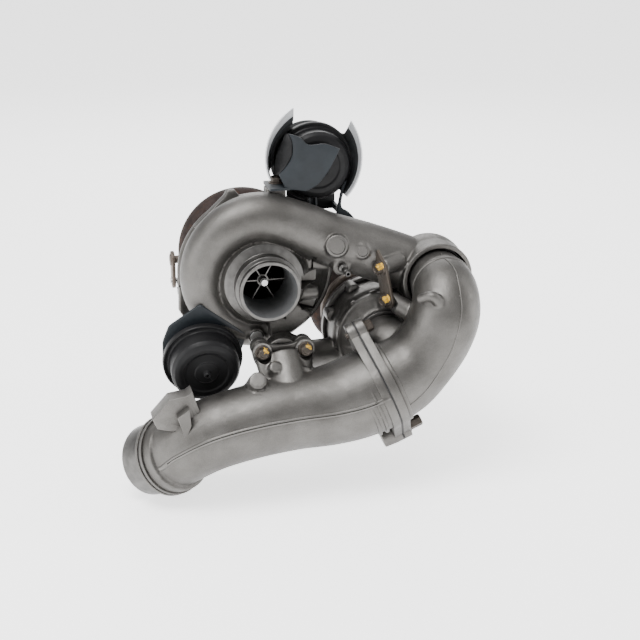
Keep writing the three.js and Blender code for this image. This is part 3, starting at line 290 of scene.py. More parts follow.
def sheet_metal():
    """Aluminised sheet: bright, with a long rolling grain and faint stains."""
    m = Nodes("aluminised_sheet")
    streaks = m.noise(90, 4, 0.6, stretch=(1, 14, 1))
    tone = m.ramp(streaks, [(0.3, (0.5, 0.51, 0.525)), (0.7, (0.66, 0.67, 0.685))])
    m.link(tone, m.shader.inputs["Base Color"])
    m.link(m.ramp(m.noise(40, 5), [(0.3, 0.42), (0.7, 0.56)]), m.shader.inputs["Roughness"])
    m.bump([(streaks, 0.12, 0.0001), (m.noise(30, 2), 0.15, 0.0004)])
    m.set(0.55)
    return m.material


def rubber():
    m = Nodes("rubber")
    tone = m.ramp(m.noise(150, 4), [(0.3, 0.012), (0.7, 0.03)])
    m.link(tone, m.shader.inputs["Base Color"])
    m.bump([(m.noise(900, 3), 0.3, 0.0001)])
    m.set(0.0, 0.62)
    return m.material


def paint_mark():
    """The yellow marking paint dabbed on a tightened bolt."""
    m = Nodes("paint_mark")
    tone = m.ramp(m.noise(500, 4), [(0.35, (0.30, 0.17, 0.02)), (0.6, (0.62, 0.36, 0.03))])
    m.link(tone, m.shader.inputs["Base Color"])
    m.bump([(m.noise(800, 3), 0.4, 0.0002)])
    m.set(0.0, 0.55)
    return m.material


# The last colour is painted shade for the casting's hollows.
ALUMINIUM = cast_metal(
    "cast_aluminium", (0.098, 0.0935, 0.0875), (0.142, 0.1365, 0.129), 0.9, 0.43, 1.2, (0.022, 0.02, 0.018)
)
MACHINED = turned_metal("machined_aluminium", (0.085, 0.0825, 0.079), (0.14, 0.136, 0.131), 0.34)
# Painted shade: a dark grey, non-metal finish for the inside of the machined intake throat.
THROAT_SHADE = coated_metal("intake_throat_painted_shade", (0.075, 0.076, 0.078), 0.42, (0.0, 0.3), 0.0, 0.6)
IRON = rusty_metal("heat_browned_iron", (0.017, 0.0105, 0.009), (0.05, 0.023, 0.012), 0.08)
DARK_STEEL = rusty_metal("browned_steel", (0.07, 0.056, 0.046), (0.1, 0.055, 0.03), 0.02, 0.5)
STEEL = turned_metal("bright_steel", (0.42, 0.42, 0.42), (0.58, 0.58, 0.58), 0.3, 0.0006)
# Satin black for the cans; on the saddle bracket's folded flange the same black is painted shade.
BLACK_AND_SHADE = coated_metal("satin_black_and_painted_shade", (0.005, 0.005, 0.0055), 0.45, (0.04, 0.3), 0.015, 0.2)
BRACKET = coated_metal("blue_grey_coating", (0.011, 0.0145, 0.018), 0.5, (0.04, 0.35), 0.07, 0.25)
SHEET = sheet_metal()
BOLT = rusty_metal("browned_bolt", (0.04, 0.033, 0.027), (0.08, 0.05, 0.03), 0.0, 0.42)
MACHINED_IRON = turned_metal("machined_iron", (0.2, 0.17, 0.15), (0.32, 0.28, 0.25), 0.4)
# Painted shade: the heat shield is aluminised sheet all over, and this dark grey stands for the shade on its inner
# part and back.
SHIELD_SHADE = coated_metal("shield_painted_shade", (0.022, 0.0235, 0.025), 0.5, (0.04, 0.35), 0.05, 0.35)
BEARING = turned_metal("bearing_bronze", (0.36, 0.22, 0.08), (0.5, 0.33, 0.14), 0.35)
RUBBER = rubber()
PAINT = paint_mark()


# ---------------------------------------------------------------- solids
def solid(vertices, faces, material=None):
    mesh = bpy.data.meshes.new("solid")
    mesh.from_pydata([tuple(v) for v in vertices], [], faces)
    mesh.validate()
    if material:
        mesh.materials.append(material)
    piece = bpy.data.objects.new("solid", mesh)
    bpy.context.scene.collection.objects.link(piece)
    return piece


def facing(at, axis):
    """A matrix that turns +Y to a direction and moves the origin to a point."""
    turn = Vector((0, 1, 0)).rotation_difference(Vector(axis)).to_matrix().to_4x4()
    return Matrix.Translation(Vector(at)) @ turn


def moved(piece, matrix):
    piece.data.transform(matrix)
    if matrix.determinant() < 0:
        piece.data.flip_normals()
    return piece


def softened(profile, radius, closed):
    """A profile with its corners rounded by short curves."""
    steps = 4
    if radius <= 0:
        return [Vector(p) for p in profile]
    points = [Vector(p) for p in profile]
    made = []
    last = len(points) - 1
    for i, point in enumerate(points):
        if not closed and i in (0, last):
            made.append(point)
            continue
        before, after = points[i - 1], points[(i + 1) % len(points)]
        into, out = before - point, after - point
        reach = min(radius, 0.42 * into.length, 0.42 * out.length)
        start = point + into.normalized() * reach
        end = point + out.normalized() * reach
        for k in range(steps + 1):
            t = k / steps
            made.append((1 - t) ** 2 * start + 2 * t * (1 - t) * point + t * t * end)
    return made


def lathe(profile, at=(0, 0, 0), axis=(0, 1, 0), sides=96, edge=0.5, material=None, limit=None, matrix=None):
    """A solid of revolution about an axis from (radius, along) pairs, closed on the axis or on itself.
    limit(angle) caps the radius, which makes a hexagon of a round."""
    on_axis = profile[0][0] == 0 and profile[-1][0] == 0
    points = softened(profile, edge, not on_axis)
    vertices, rows = [], []
    for radius, along in points:
        if radius < 1e-6:
            rows.append([len(vertices)])
            vertices.append((0, along, 0))
            continue
        rows.append(range(len(vertices), len(vertices) + sides))
        for j in range(sides):
            angle = 2 * math.pi * j / sides
            reach = min(radius, limit(angle)) if limit else radius
            vertices.append((reach * math.cos(angle), along, reach * math.sin(angle)))
    pairs = list(zip(rows, rows[1:]))
    if not on_axis:
        pairs.append((rows[-1], rows[0]))
    faces = []
    for a, b in pairs:
        for j in range(sides):
            k = (j + 1) % sides
            if len(a) == 1 and len(b) == 1:
                continue
            if len(a) == 1:
                faces.append((a[0], b[k], b[j]))
            elif len(b) == 1:
                faces.append((a[j], a[k], b[0]))
            else:
                faces.append((a[j], a[k], b[k], b[j]))
    made = solid(vertices, faces, material)
    outwards(made)
    return moved(made, matrix or facing(at, axis))


def outwards(piece):
    """Turns the faces of a closed mesh out."""
    mesh = bmesh.new()
    mesh.from_mesh(piece.data)
    if mesh.calc_volume(signed=True) < 0:
        bmesh.ops.reverse_faces(mesh, faces=mesh.faces)
        mesh.to_mesh(piece.data)
    mesh.free()
    return piece


def rod(start, end, r0, r1=None, sides=48, edge=0.5, material=None):
    """A round bar or cone between two points."""
    start, end = Vector(start), Vector(end)
    r1 = r0 if r1 is None else r1
    length = (end - start).length
    return lathe([(0, 0), (r0, 0), (r1, length), (0, length)], start, end - start, sides, edge, material)


def ring(inner, outer, y0, y1, at=(0, 0, 0), axis=(0, 1, 0), edge=0.4, sides=96, material=None):
    return lathe([(inner, y0), (outer, y0), (outer, y1), (inner, y1)], at, axis, sides, edge, material)


def drill(start, end, radius, material=None):
    """A round bar with square edges, to cut a hole with."""
    return rod(start, end, radius, edge=0, material=material)


def along_y(x, z, y0, y1, *radii, **looks):
    """A round bar or cone that runs along the shafts."""
    return rod((x, y0, z), (x, y1, z), *radii, **looks)


def ball(radius, at, sides=64):
    steps = sides // 2
    turns = [math.pi * i / steps for i in range(steps + 1)]
    outline = [(radius * math.sin(turn), -radius * math.cos(turn)) for turn in turns]
    outline[0], outline[-1] = (0, -radius), (0, radius)
    return lathe(outline, at, sides=sides, edge=0)


def curve_points(points, steps):
    """Points and radii along a centripetal Catmull-Rom spline through (x, y, z, radius, ...) stations."""
    points = [np.array(p, float) for p in points]
    points = [2 * points[0] - points[1], *points, 2 * points[-1] - points[-2]]
    lengths = [np.linalg.norm((b - a)[:3]) for a, b in zip(points[1:-2], points[2:-1])]
    total = sum(lengths)
    made = []
    for k in range(steps + 1):
        want = total * k / steps
        i = 0
        while i < len(lengths) - 1 and want > lengths[i]:
            want -= lengths[i]
            i += 1
        u = min(1.0, want / lengths[i])
        p0, p1, p2, p3 = points[i:i + 4]
        knots = [0.0]
        for a, b in ((p0, p1), (p1, p2), (p2, p3)):
            knots.append(knots[-1] + max(1e-6, np.linalg.norm((b - a)[:3]) ** 0.5))
        t = knots[1] + u * (knots[2] - knots[1])

        def blend(a, b, ta, tb):
            return (tb - t) / (tb - ta) * a + (t - ta) / (tb - ta) * b

        a1 = blend(p0, p1, knots[0], knots[1])
        a2 = blend(p1, p2, knots[1], knots[2])
        a3 = blend(p2, p3, knots[2], knots[3])
        b1 = blend(a1, a2, knots[0], knots[2])
        b2 = blend(a2, a3, knots[1], knots[3])
        made.append(blend(b1, b2, knots[1], knots[2]))
    return made


def loft(stations, steps, sides, shrink=0.0):
    """A closed tube along a smooth line of (x, y, z, radius) stations, without twist."""
    samples = curve_points(stations, steps)
    centres = [Vector(s[:3]) for s in samples]
    tangents = []
    for i in range(len(centres)):
        before, after = centres[max(0, i - 1)], centres[min(len(centres) - 1, i + 1)]
        tangents.append((after - before).normalized())
    side = Vector((0, 0, 1)).cross(tangents[0]).normalized()
    vertices = []
    for i, (centre, tangent) in enumerate(zip(centres, tangents)):
        if i:
            side = tangents[i - 1].rotation_difference(tangent) @ side
        side = (side - side.dot(tangent) * tangent).normalized()
        other = tangent.cross(side)
        radius = samples[i][3] - shrink
        for j in range(sides):
            angle = 2 * math.pi * j / sides
            vertices.append(centre + side * (radius * math.cos(angle)) + other * (radius * math.sin(angle)))
    faces = []
    for i in range(steps):
        for j in range(sides):
            k = (j + 1) % sides
            faces.append((i * sides + j, i * sides + k, (i + 1) * sides + k, (i + 1) * sides + j))
    faces.append(tuple(range(sides - 1, -1, -1)))
    faces.append(tuple(steps * sides + j for j in range(sides)))
    return outwards(solid(vertices, faces))


def plate(outline, y0, y1, bevel, matrix=None, material=None, holes=()):
    """A flat plate with rounded edges: an (x, z) outline from y0 to y1. Holes are (x, z, radius)."""
    mesh = bmesh.new()
    low = [mesh.verts.new((x, y0, z)) for x, z in outline]
    high = [mesh.verts.new((x, y1, z)) for x, z in outline]
    caps = [mesh.faces.new(low), mesh.faces.new(high[::-1])]
    for i in range(len(outline)):
        k = (i + 1) % len(outline)
        mesh.faces.new((low[k], low[i], high[i], high[k]))
    bmesh.ops.recalc_face_normals(mesh, faces=mesh.faces)
    if bevel:
        edges = list({e for cap in caps for e in cap.edges})
        bmesh.ops.bevel(
            mesh, geom=edges, offset=bevel, segments=3, profile=0.5, affect="EDGES", clamp_overlap=True)
    data = bpy.data.meshes.new("plate")
    mesh.to_mesh(data)
    mesh.free()
    if material:
        data.materials.append(material)
    made = bpy.data.objects.new("plate", data)
    bpy.context.scene.collection.objects.link(made)
    outwards(made)
    cut(made, *[drill((x, y0 - 5, z), (x, y1 + 5, z), r, material) for x, z, r in holes])
    return moved(made, matrix) if matrix else made


def smooth_outline(points, steps=8):
    """A closed, smooth outline through points of (x, z). A point with a third value is a sharp corner."""
    count = len(points)
    made = []
    for i in range(count):
        p1, p2 = points[i], points[(i + 1) % count]
        p0 = points[i - 1] if len(p1) == 2 else p1
        p3 = points[(i + 2) % count] if len(p2) == 2 else p2
        a, b, c, d = (np.array(p[:2], float) for p in (p0, p1, p2, p3))
        for k in range(steps):
            t = k / steps
            t2, t3 = t * t, t * t * t
            doubled = 2 * b + (c - a) * t + (2 * a - 5 * b + 4 * c - d) * t2 + (3 * b - a - 3 * c + d) * t3
            made.append(tuple(0.5 * doubled))
    return made


def arc(x, z, radius, start, end, steps=24):
    """(x, z) points along an arc, in degrees."""
    turns = [math.radians(start + (end - start) * i / steps) for i in range(steps + 1)]
    return [(x + radius * math.cos(a), z + radius * math.sin(a)) for a in turns]


def block(size, at, bevel, matrix=None, material=None):
    x, y, z = (s / 2 for s in size)
    made = plate([(-x, -z), (x, -z), (x, z), (-x, z)], -y, y, bevel, material=material)
    return moved(made, (matrix or Matrix.Identity(4)) @ Matrix.Translation(Vector(at)))


# ---------------------------------------------------------------- joining, cutting and finishing
def applied(piece):
    graph = bpy.context.evaluated_depsgraph_get()
    made = bpy.data.meshes.new_from_object(piece.evaluated_get(graph))
    piece.modifiers.clear()
    old = piece.data
    piece.data = made
    bpy.data.meshes.remove(old)
    return piece


def discard(piece):
    data = piece.data
    bpy.data.objects.remove(piece)
    bpy.data.meshes.remove(data)


def boolean(body, tools, operation):
    for tool in tools:
        if not tool.data.materials and body.data.materials:
            tool.data.materials.append(body.data.materials[0])
        modifier = body.modifiers.new("boolean", "BOOLEAN")
        modifier.solver = "MANIFOLD"
        modifier.operation = operation
        modifier.material_mode = "TRANSFER"
        modifier.object = tool
    if tools:
        applied(body)
    for tool in tools:
        discard(tool)
    return body


def cut(body, *tools):
    return boolean(body, tools, "DIFFERENCE")


def weld(body, *tools):
    return boolean(body, tools, "UNION")


def together(parts):
    """Puts several meshes in one object without merging them."""
    mesh = bmesh.new()
    for part in parts:
        mesh.from_mesh(part.data)
    mesh.to_mesh(parts[0].data)
    mesh.free()
    for part in parts[1:]:
        discard(part)
    return parts[0]


def cast(parts, material, relax):
    """One casting from overlapping closed parts, with soft fillets where they meet."""
    body = together(parts)
    remesh = body.modifiers.new("remesh", "REMESH")
    remesh.mode = "VOXEL"
    remesh.voxel_size = CAST_VOXEL
    smooth = body.modifiers.new("smooth", "SMOOTH")
    smooth.factor = 0.5
    smooth.iterations = relax
    applied(body)
    body.data.materials.clear()
    body.data.materials.append(material)
    return body


RECORD = frame["record"]
BODY_OF = {node: body for body, nodes in RECORD["behaviour"]["bodies"].items() for node in nodes}


def finished(piece, name, node, material=None):
    """Moves a modelled piece into the frame, names it, and has it stand for its CAD node."""
    piece.data.transform(INTO_FRAME)
    piece.name = name
    piece.data.name = name
    if material:
        piece.data.materials.clear()
        piece.data.materials.append(material)
    piece.data.shade_smooth()
    piece.data.set_sharp_from_angle(angle=SHARP_ANGLE)
    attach(piece, BODY_OF[node])
    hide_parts(node)
    return piece


# ---------------------------------------------------------------- fasteners
HEX_CORNER = 2 / math.sqrt(3)


def hexagon_limit(across):
    """The reach of a hexagon's side at each angle, as a limit on a lathe's radius."""
    flat = across / 2

    def limit(angle):
        return flat / math.cos((angle + math.pi / 6) % (math.pi / 3) - math.pi / 6)

    return limit


def hex_head(at, axis, height, across, material, dish=0.0, turn=0.0):
    """A hexagon head standing on a face, its top chamfered all round."""
    corner = across / 2 * HEX_CORNER
    profile = [(0, 0), (corner + 0.2, 0), (corner + 0.2, height - 1.1), (across / 2 * 0.97, height)]
    if dish:
        profile += [(across / 2 * 0.66, height), (across / 2 * 0.58, height - dish)]
    profile.append((0, height - dish))
    spin = Matrix.Rotation(turn, 4, "Y")
    return lathe(profile, sides=96, edge=0.12, material=material, limit=hexagon_limit(across),
                 matrix=facing(at, axis) @ spin)


def screw(at, axis, head, length, washer=1.4, dish=0.8, turn=0.0, mark=None):
    """A flanged M6 hexagon screw: at is on the face it clamps and axis points out of the head."""
    axis = Vector(axis).normalized()
    at = Vector(at)
    corner = M6_ACROSS / 2 * HEX_CORNER
    shank = [(0, -length), (M6_R - 0.6, -length), (M6_R, 0.7 - length), (M6_R, -0.6), (0, -0.6)]
    flange = [(0, -0.7), (corner + 1.6, 0), (corner + 1.6, washer * 0.5), (corner + 0.4, washer), (0, washer)]
    body = lathe(shank, at, axis, 32, 0.1, BOLT)
    body = weld(body, lathe(flange, at, axis, 64, 0.3, BOLT))
    height = head - washer + 0.4
    body = weld(body, hex_head(at + axis * (washer - 0.4), axis, height, M6_ACROSS, BOLT, dish, turn))
    if mark:
        dab(body, at + axis * head * 0.6, Vector(mark), M6_ACROSS * 0.62)
    return body


def dab(piece, centre, towards, reach):
    """Paints the faces round one corner of a head."""
    piece.data.materials.append(PAINT)
    index = len(piece.data.materials) - 1
    spot = centre + towards.normalized() * reach
    for face in piece.data.polygons:
        wobble = 0.35 * math.sin(2.1 * face.center.x) + 0.35 * math.sin(2.7 * face.center.z + 1)
        if (face.center - spot).length < reach * 0.62 + wobble:
            face.material_index = index


# ---------------------------------------------------------------- low-pressure compressor housing
def scroll(start, sweep, reach, y, tube, count):
    """Stations round the rotor's axis. reach, y and tube are each (first, last); angles are in degrees."""
    stations = []
    for i in range(count + 1):
        t = i / count
        angle = math.radians(start - sweep * t)
        out, depth, radius = (a + (b - a) * t for a, b in (reach, y, tube))
        stations.append((out * math.cos(angle), depth, out * math.sin(angle), radius))
    return stations


def volute_stations():
    return scroll(**VOLUTE) + DISCHARGE


STRAP_UPPER = Vector((111, -60, 12))
STRAP_LOWER = Vector((117, -62.4, -20))
STRAP_UP = (STRAP_UPPER - STRAP_LOWER).normalized()
STRAP_FACING = Vector((-0.93, -0.37, 0))
STRAP_OUT = (STRAP_FACING - STRAP_FACING.dot(STRAP_UP) * STRAP_UP).normalized()
NIPPLE = Vector((73.5, -52, 12))


def large_compressor_casting():
    """The volute, its discharge to the bulb, and the bosses and lugs cast onto them."""
    tube = loft(volute_stations(), 220, 56)
    shell = lathe([
        (0, 0), (72, 0), (72, -8), (64, -12), (47, -31), (40, -40), (38.5, -45.5), (0, -45.5),
    ], edge=2)
    bulb = ball(BULB_R, BULB)
    socket = along_y(BULB.x, BULB.z, BULB.y, SOCKET_RIM_Y, 35.2, edge=0)
    boss_left = rod((70, -36, 31), (66, -61, 36), 13, 10.5, edge=1)
    boss_right = rod((94, -38, 25), (92, -57, 28), 9.5, 7.5, edge=1)
    boss_web = rod((68, -48, 33.5), (93, -47, 26.5), 6.5)
    nipple_boss = rod((73.5, -36, 15), NIPPLE, 10.5, 9, edge=1)
    strap_boss = rod(STRAP_UPPER - STRAP_OUT * 22, STRAP_UPPER, 9.5, 7.8, edge=0.6)
    cross_boss = rod((24, -33, -17.5), (54, -33, -17.5), 6.8)
    pocket_wall = plate([(34, 18), (64, 24), (66, 4), (56, 5), (34, 9)], -33, -14, 1)
    sector = plate(arc(0, 0, 59, -84, -38) + arc(0, 0, 30, -38, -84), -42, -20, 1)
    plug_boss = rod((-7.8, -24, -53), (-7.8, -39.5, -55.5), 9, 8, edge=1)
    corner_lug = plate([
        (-60, 48), (-30, 76.5), (-27, 82), (-20, 82), (-14, 74), (-20, 60), (-50, 40),
    ], -9.5, -0.5, 0.8)
    lower_lug = plate([(-60, -20), (-76, -10), (-77, -34), (-70, -46), (-56, -50)], -9.5, -0.5, 0.8)
    mount_block = block((19, 16, 26), (18.5, -8, 70), 2)
    return cast([
        tube, shell, bulb, socket, boss_left, boss_right, boss_web, nipple_boss, strap_boss, cross_boss,
        pocket_wall, sector, plug_boss, corner_lug, lower_lug, mount_block,
    ], ALUMINIUM, 9)


def large_compressor_housing():
    body = large_compressor_casting()
    rim = lathe([
        (52, -7.2), (74.2, -7.2), (74.2, -4.6), (RIM_R, -4), (RIM_R, -0.3), (52, -0.3),
    ], edge=0.6, sides=160)
    collar = lathe([
        (20, -40), (38.5, -40), (38.5, -45.2), (33, -46.6), (29.6, -47.5), (29.6, -57), (31.2, -58),
        (31.2, -62.6), (27.8, -63.6), (27.8, -66.4), (28.8, -67), (28.8, -72), (20, -72),
    ], edge=0.7, sides=160, material=MACHINED)
    weld(body, rim, collar)
    cut(body, *large_compressor_ways())
    finished(body, "large_compressor_cover", "large_compressor_housing")


def large_compressor_ways():
    """What is cut out of the casting: the air's way, the socket, the pockets and the holes."""
    # The throat's cut faces take the dark grey that is painted shade.
    throat = lathe([
        (0, -73), (26.3, -73), (25.5, -71.2), (24, -60), (22.8, -44), (22.8, -24), (26.5, -18), (29.6, -15.5),
        (29.6, -11), (57, -11), (57, -7), (30, -7), (30, 1), (0, 1),
    ], edge=0.5, sides=160, material=THROAT_SHADE)
    passage = loft(volute_stations()[2:], 200, 40, shrink=4)
    bulb_room = ball(BULB_R - 4, BULB)
    neck = along_y(BULB.x, BULB.z, BULB.y, SOCKET_RIM_Y + 1, 27, edge=0)
    bore = lathe([
        (0, -40), (30.4, -40), (30.4, -60.8), (31.4, SOCKET_RIM_Y - 0.2), (31.4, -66), (0, -66),
    ], (BULB.x, 0, BULB.z), edge=0.2, material=MACHINED)
    face = ring(30, 38.5, -66, SOCKET_RIM_Y, (BULB.x, 0, BULB.z), edge=0, material=MACHINED)
    recess = plate([(35, 4.5), (61, 1.5), (60, -9.5), (35, -9)], -60, -21.5, 1.2)
    lower_recess = plate([(35, -26), (56, -26), (52, -36), (36, -31)], -60, -24, 1.2)
    groove = block((3, 20, 16), (48.5, -38.5, 14), 1.2)
    nipple_bore = along_y(NIPPLE.x, NIPPLE.z, -60, -40, 4.3, material=MACHINED)
    tiny_hole = along_y(20, -38, -50, -36, 1.3)
    boss_rings = [
        ring(r - 0.7, r, -66, y, (x, 0, z), edge=0.2)
        for x, z, r, y in ((66.2, 35.8, 7.6, -60), (92.2, 27.8, 5.2, -56))
    ]
    plug_bore = ring(6.2, 7, -50, -37.5, (-7.8, 0, -55.5), edge=0.2)
    screws = [along_y(x, z, -4, 6, HOLE_R) for x, z in CLAMP_SCREWS]
    bracket_bore = rod((20, -6, 62), (20, -6, 90), HOLE_R)
    return [
        throat, passage, bulb_room, neck, bore, face, recess, lower_recess, groove, nipple_bore, tiny_hole,
        *boss_rings, plug_bore, *screws, bracket_bore, strap_bolt_way(STRAP_UPPER),
    ]


def strap_bolt_way(seat):
    return rod(seat - STRAP_OUT * 9, seat + STRAP_OUT * 4, HOLE_R)


def volute_plug():
    """The slotted plug in the volute's floor."""
    at, axis = Vector((-7.8, -39.6, -55.5)), Vector((0, -1, -0.1))
    made = rod(at - axis * 3, at + axis * 1.2, 6.1, edge=0.5, material=DARK_STEEL)
    cut(made, block((20, 1.6, 1.7), at + axis * 1.2, 0.1))
    finished(made, "volute_plug", "large_compressor_housing", material=STEEL)


# ---------------------------------------------------------------- charge air elbow
INTO_JOINT = Matrix.Translation(JOINT_AT) @ Matrix.Rotation(-JOINT_TILT, 4, "Y")
LUG = {"reach": 57.5, "depth": 11, "radius": 10.5}
JOINT_R = 42
PIPE_BORE = 34
SWAP_X_AND_Y = Matrix(((0, 1, 0, 0), (1, 0, 0, 0), (0, 0, 1, 0), (0, 0, 0, 1)))


def across_joint(piece):
    return moved(piece, INTO_JOINT)


def joint_plate(x0, x1, edge=0.5):
    """The joint's outline: a round body with a bolt lug at each end, in the joint's own frame."""
    depth, reach, radius = LUG["depth"], LUG["reach"], LUG["radius"]
    outline = arc(0, 0, JOINT_R, -52, 52, 28) + arc(depth, reach, radius, 0, 180, 16)
    outline += arc(0, 0, JOINT_R, 128, 232, 28) + arc(depth, -reach, radius, 180, 360, 16)
    return moved(plate(outline, x0, x1, edge), SWAP_X_AND_Y)


def at_lug(x, side):
    """The middle of the upper (1) or lower (-1) bolt lug, in the joint's own frame."""
    return x, LUG["depth"], side * LUG["reach"]


def joint_bolt_ways():
    return [across_joint(rod(at_lug(-14, side), at_lug(14, side), HOLE_R)) for side in (1, -1)]


def seam(stations, angle, width, height, start, end, steps=90):
    """A raised parting line along a tube: a low rounded bar on the tube's surface, at angle(t) degrees round
    it from the front. It runs from start to end, as shares t of the tube's length."""
    samples = curve_points(stations, steps)
    line = []
    for i in range(int(steps * start), int(steps * end) + 1):
        before, centre, after = (Vector(samples[k][:3]) for k in (max(0, i - 1), i, min(steps, i + 1)))
        tangent = (after - before).normalized()
        side = Vector((0, -1, 0))
        side = (side - side.dot(tangent) * tangent).normalized()
        other = side.cross(tangent)
        if other.z < 0:
            other = -other
        turn = math.radians(angle(i / steps))
        out = side * math.cos(turn) + other * math.sin(turn)
        line.append((*(centre + out * (samples[i][3] + height - width / 2)), width / 2))
    return loft(line, len(line) - 1, 12)


def charge_air_elbow():
    into_small = [(HPX, -63, HPZ), (HPX, -52.3, HPZ)]
    pipe = loft(ELBOW, 110, 56)
    branch = loft([(146, -92, -64, 24), (130, -80, -66, 25), *[(*p, 27) for p in into_small]], 30, 40)
    boss = rod(STRAP_LOWER, (146, -80, -38), 8.8, 10.5, edge=0.8)
    gusset = loft([(131, -108, -6, 4), (142, -117, -1, 5), (152, -117, -14, 5)], 20, 16)
    far_side = across_joint(block((60, 160, 180), (-29.3, 0, 0), 0))
    body = cast([pipe, branch, boss, gusset], ALUMINIUM, 10)
    cut(body, far_side)
    plate_piece = across_joint(joint_plate(JOINT_GAP, JOINT_GAP + JOINT_PLATE))
    step = across_joint(ring(30, 40.5, 7, 13, axis=(1, 0, 0), edge=1.5))
    bead = ring(24, 29.6, 0, 5, (166, -70, -5.2), (0.0, -1, -0.18), edge=1.2)
    line = seam(ELBOW, lambda t: 8 - 30 * t, 1.6, 0.5, 0.12, 0.93)
    weld(body, plate_piece, step, bead, line)
    inside = loft(ELBOW, 90, 48, shrink=4)
    branch_inside = loft([
        (146, -92, -64, 19), (130, -80, -66, 20), (HPX, -63, HPZ, 22), (HPX, -50, HPZ, 22),
    ], 30, 32)
    mouth = along_y(166, -4.5, -45, -60, 23.5)
    opening = across_joint(rod((0, 0, 0), (12, 0, 0), 24))
    face = rod(STRAP_LOWER, STRAP_LOWER + STRAP_OUT * 8, 14, material=MACHINED)
    cut(body, inside, branch_inside, mouth, opening, face, strap_bolt_way(STRAP_LOWER), *joint_bolt_ways())
    finished(body, "elbow_casting", "charge_air_elbow")


# ---------------------------------------------------------------- outlet duct
INTO_SPIGOT = facing(SPIGOT_AT, SPIGOT_AXIS)


def at_pad(side, y):
    """A point behind the middle of the pad's left (-1) or right (1) bolt."""
    return PAD + Vector((side * PAD_REACH, y, 0))


def outlet_duct_casting():
    """The duct's pipe, the neck and webs under its pad, and the bosses cast onto it."""
    pipe = loft(OUTLET, 130, 64)
    neck = rod(PAD + Vector((0, 0, -8)), (13, -92, -90), 18, 22, edge=1)
    webs = [rod(at_pad(side, -4), (PAD.x + side * 15, -90, -86), 8.5, 8.5) for side in (-1, 1)]
    shoulder = moved(lathe([(0, -20), (36, -20), (36.5, -8), (0, -8)], edge=1), INTO_SPIGOT)
    facet = rod((-18, -90, -88), (-20.6, -110, -70), 12.5, 8.5, sides=8, edge=1)
    oval_1 = rod((-3, -86, -74), (-1, -96, -64.5), 6.5, 5.6, edge=0.8)
    oval_2 = rod((28, -86, -82), (28, -97, -72.5), 6.5, 5.6, edge=0.8)
    collar = across_joint(lathe([
        (0, -36), (37, -36), (37.6, -26), (38.6, -16), (38.6, -8), (0, -8),
    ], axis=(1, 0, 0), edge=2))
    body = cast([pipe, neck, *webs, shoulder, facet, oval_1, oval_2, collar], ALUMINIUM, 9)
    far_side = across_joint(block((60, 160, 180), (29.3, 0, 0), 0))
    behind_pad = block((62, 30, 50), PAD + Vector((0, 15, 0)), 0)
    return cut(body, far_side, behind_pad)


def outlet_duct():
    body = outlet_duct_casting()
    plate_piece = across_joint(joint_plate(-JOINT_GAP - JOINT_PLATE, -JOINT_GAP))
    low_lug = across_joint(rod(at_lug(-20, -1), at_lug(-8, -1), 9.4, 10.5, edge=1.2))
    steps = [
        across_joint(ring(30, r, x - 3, x, axis=(1, 0, 0), edge=1.2)) for r, x in ((41.8, -13), (41.4, -20))
    ]
    ears = [rod(at_pad(side, -8), at_pad(side, 0), 9.4, edge=0.8) for side in (-1, 1)]
    flange = plate(smooth_outline([
        (-28, 6), (-20.5, 9.4), (-10, 5), (0, 4), (10, 5), (20.5, 9.4), (28, 6), (29, -5), (22, -18),
        (0, -24), (-22, -18), (-29, -5),
    ]), -5, 0, 0.7, Matrix.Translation(PAD))
    spigot = moved(lathe([
        (26, -9), (37.5, -9), (37.5, -0.3), (32, 0.2), (32, 4.3), (34, 4.7), (34, 25), (33, 27), (26, 27),
    ], sides=160, edge=0.7, material=MACHINED), INTO_SPIGOT)
    rings = [
        moved(ring(30, r, y0, y1, edge=0.5, sides=160), INTO_SPIGOT)
        for r, y0, y1 in ((38.6, -4.2, -1.0), (38.2, -9.5, -6.5))
    ]
    line = seam(OUTLET, ridge_angle, 6.0, 1.2, 0.05, 0.98)
    weld(body, plate_piece, low_lug, *steps, *ears, flange, spigot, *rings, line, duct_clip())
    cut(body, *outlet_duct_ways())
    finished(body, "outlet_duct_casting", "outlet_duct")


def outlet_duct_ways():
    """What is cut out of the duct: the air's way, the groove in its parting line and the holes."""
    inside = loft(OUTLET, 110, 48, shrink=4)
    neck_way = rod(PAD + Vector((0, 1, -8)), (13, -96, -96), 12)
    spigot_way = moved(lathe([
        (0, -20), (29, -20), (29, 25.5), (30.5, 28), (0, 28),
    ], edge=0.2, sides=160, material=MACHINED), INTO_SPIGOT)
    mouth = across_joint(rod((-10, 0, 0), (2, 0, 0), PIPE_BORE, edge=0, sides=128, material=MACHINED))
    pin_way = across_joint(rod((-4, -27, 28), (-4, 27, 28), 2.4))
    groove = seam(OUTLET, ridge_angle, 1.1, 1.3, 0.11, 0.94)
    screw_ways = [rod(at_pad(side, -9), at_pad(side, 1), HOLE_R) for side in (-1, 1)]
    ear_faces = [drill(at_pad(side, -20), at_pad(side, -8), 8, MACHINED) for side in (-1, 1)]
    return [
        inside, neck_way, spigot_way, mouth, pin_way, groove, *screw_ways, *ear_faces, *joint_bolt_ways(),
    ]


def ridge_angle(t):
    """Where the duct's parting line runs: a little above the middle of the front, rising to the spigot."""
    return 7 + 13 * t


def duct_clip():
    """The cast catch near the spigot that a hose clip hooks into: a stepped block and a fin in front."""
    catch = plate([
        (-118, -98), (-102, -80.5), (-86, -78.5), (-81, -75), (-74, -97), (-80, -107), (-100, -112),
        (-114, -108),
    ], -112, -94, 0.8)
    fin = plate([(-96.5, -95), (-85.5, -88), (-84, -104), (-90, -118), (-93, -107)], -121, -108, 0.8)
    return weld(catch, fin)


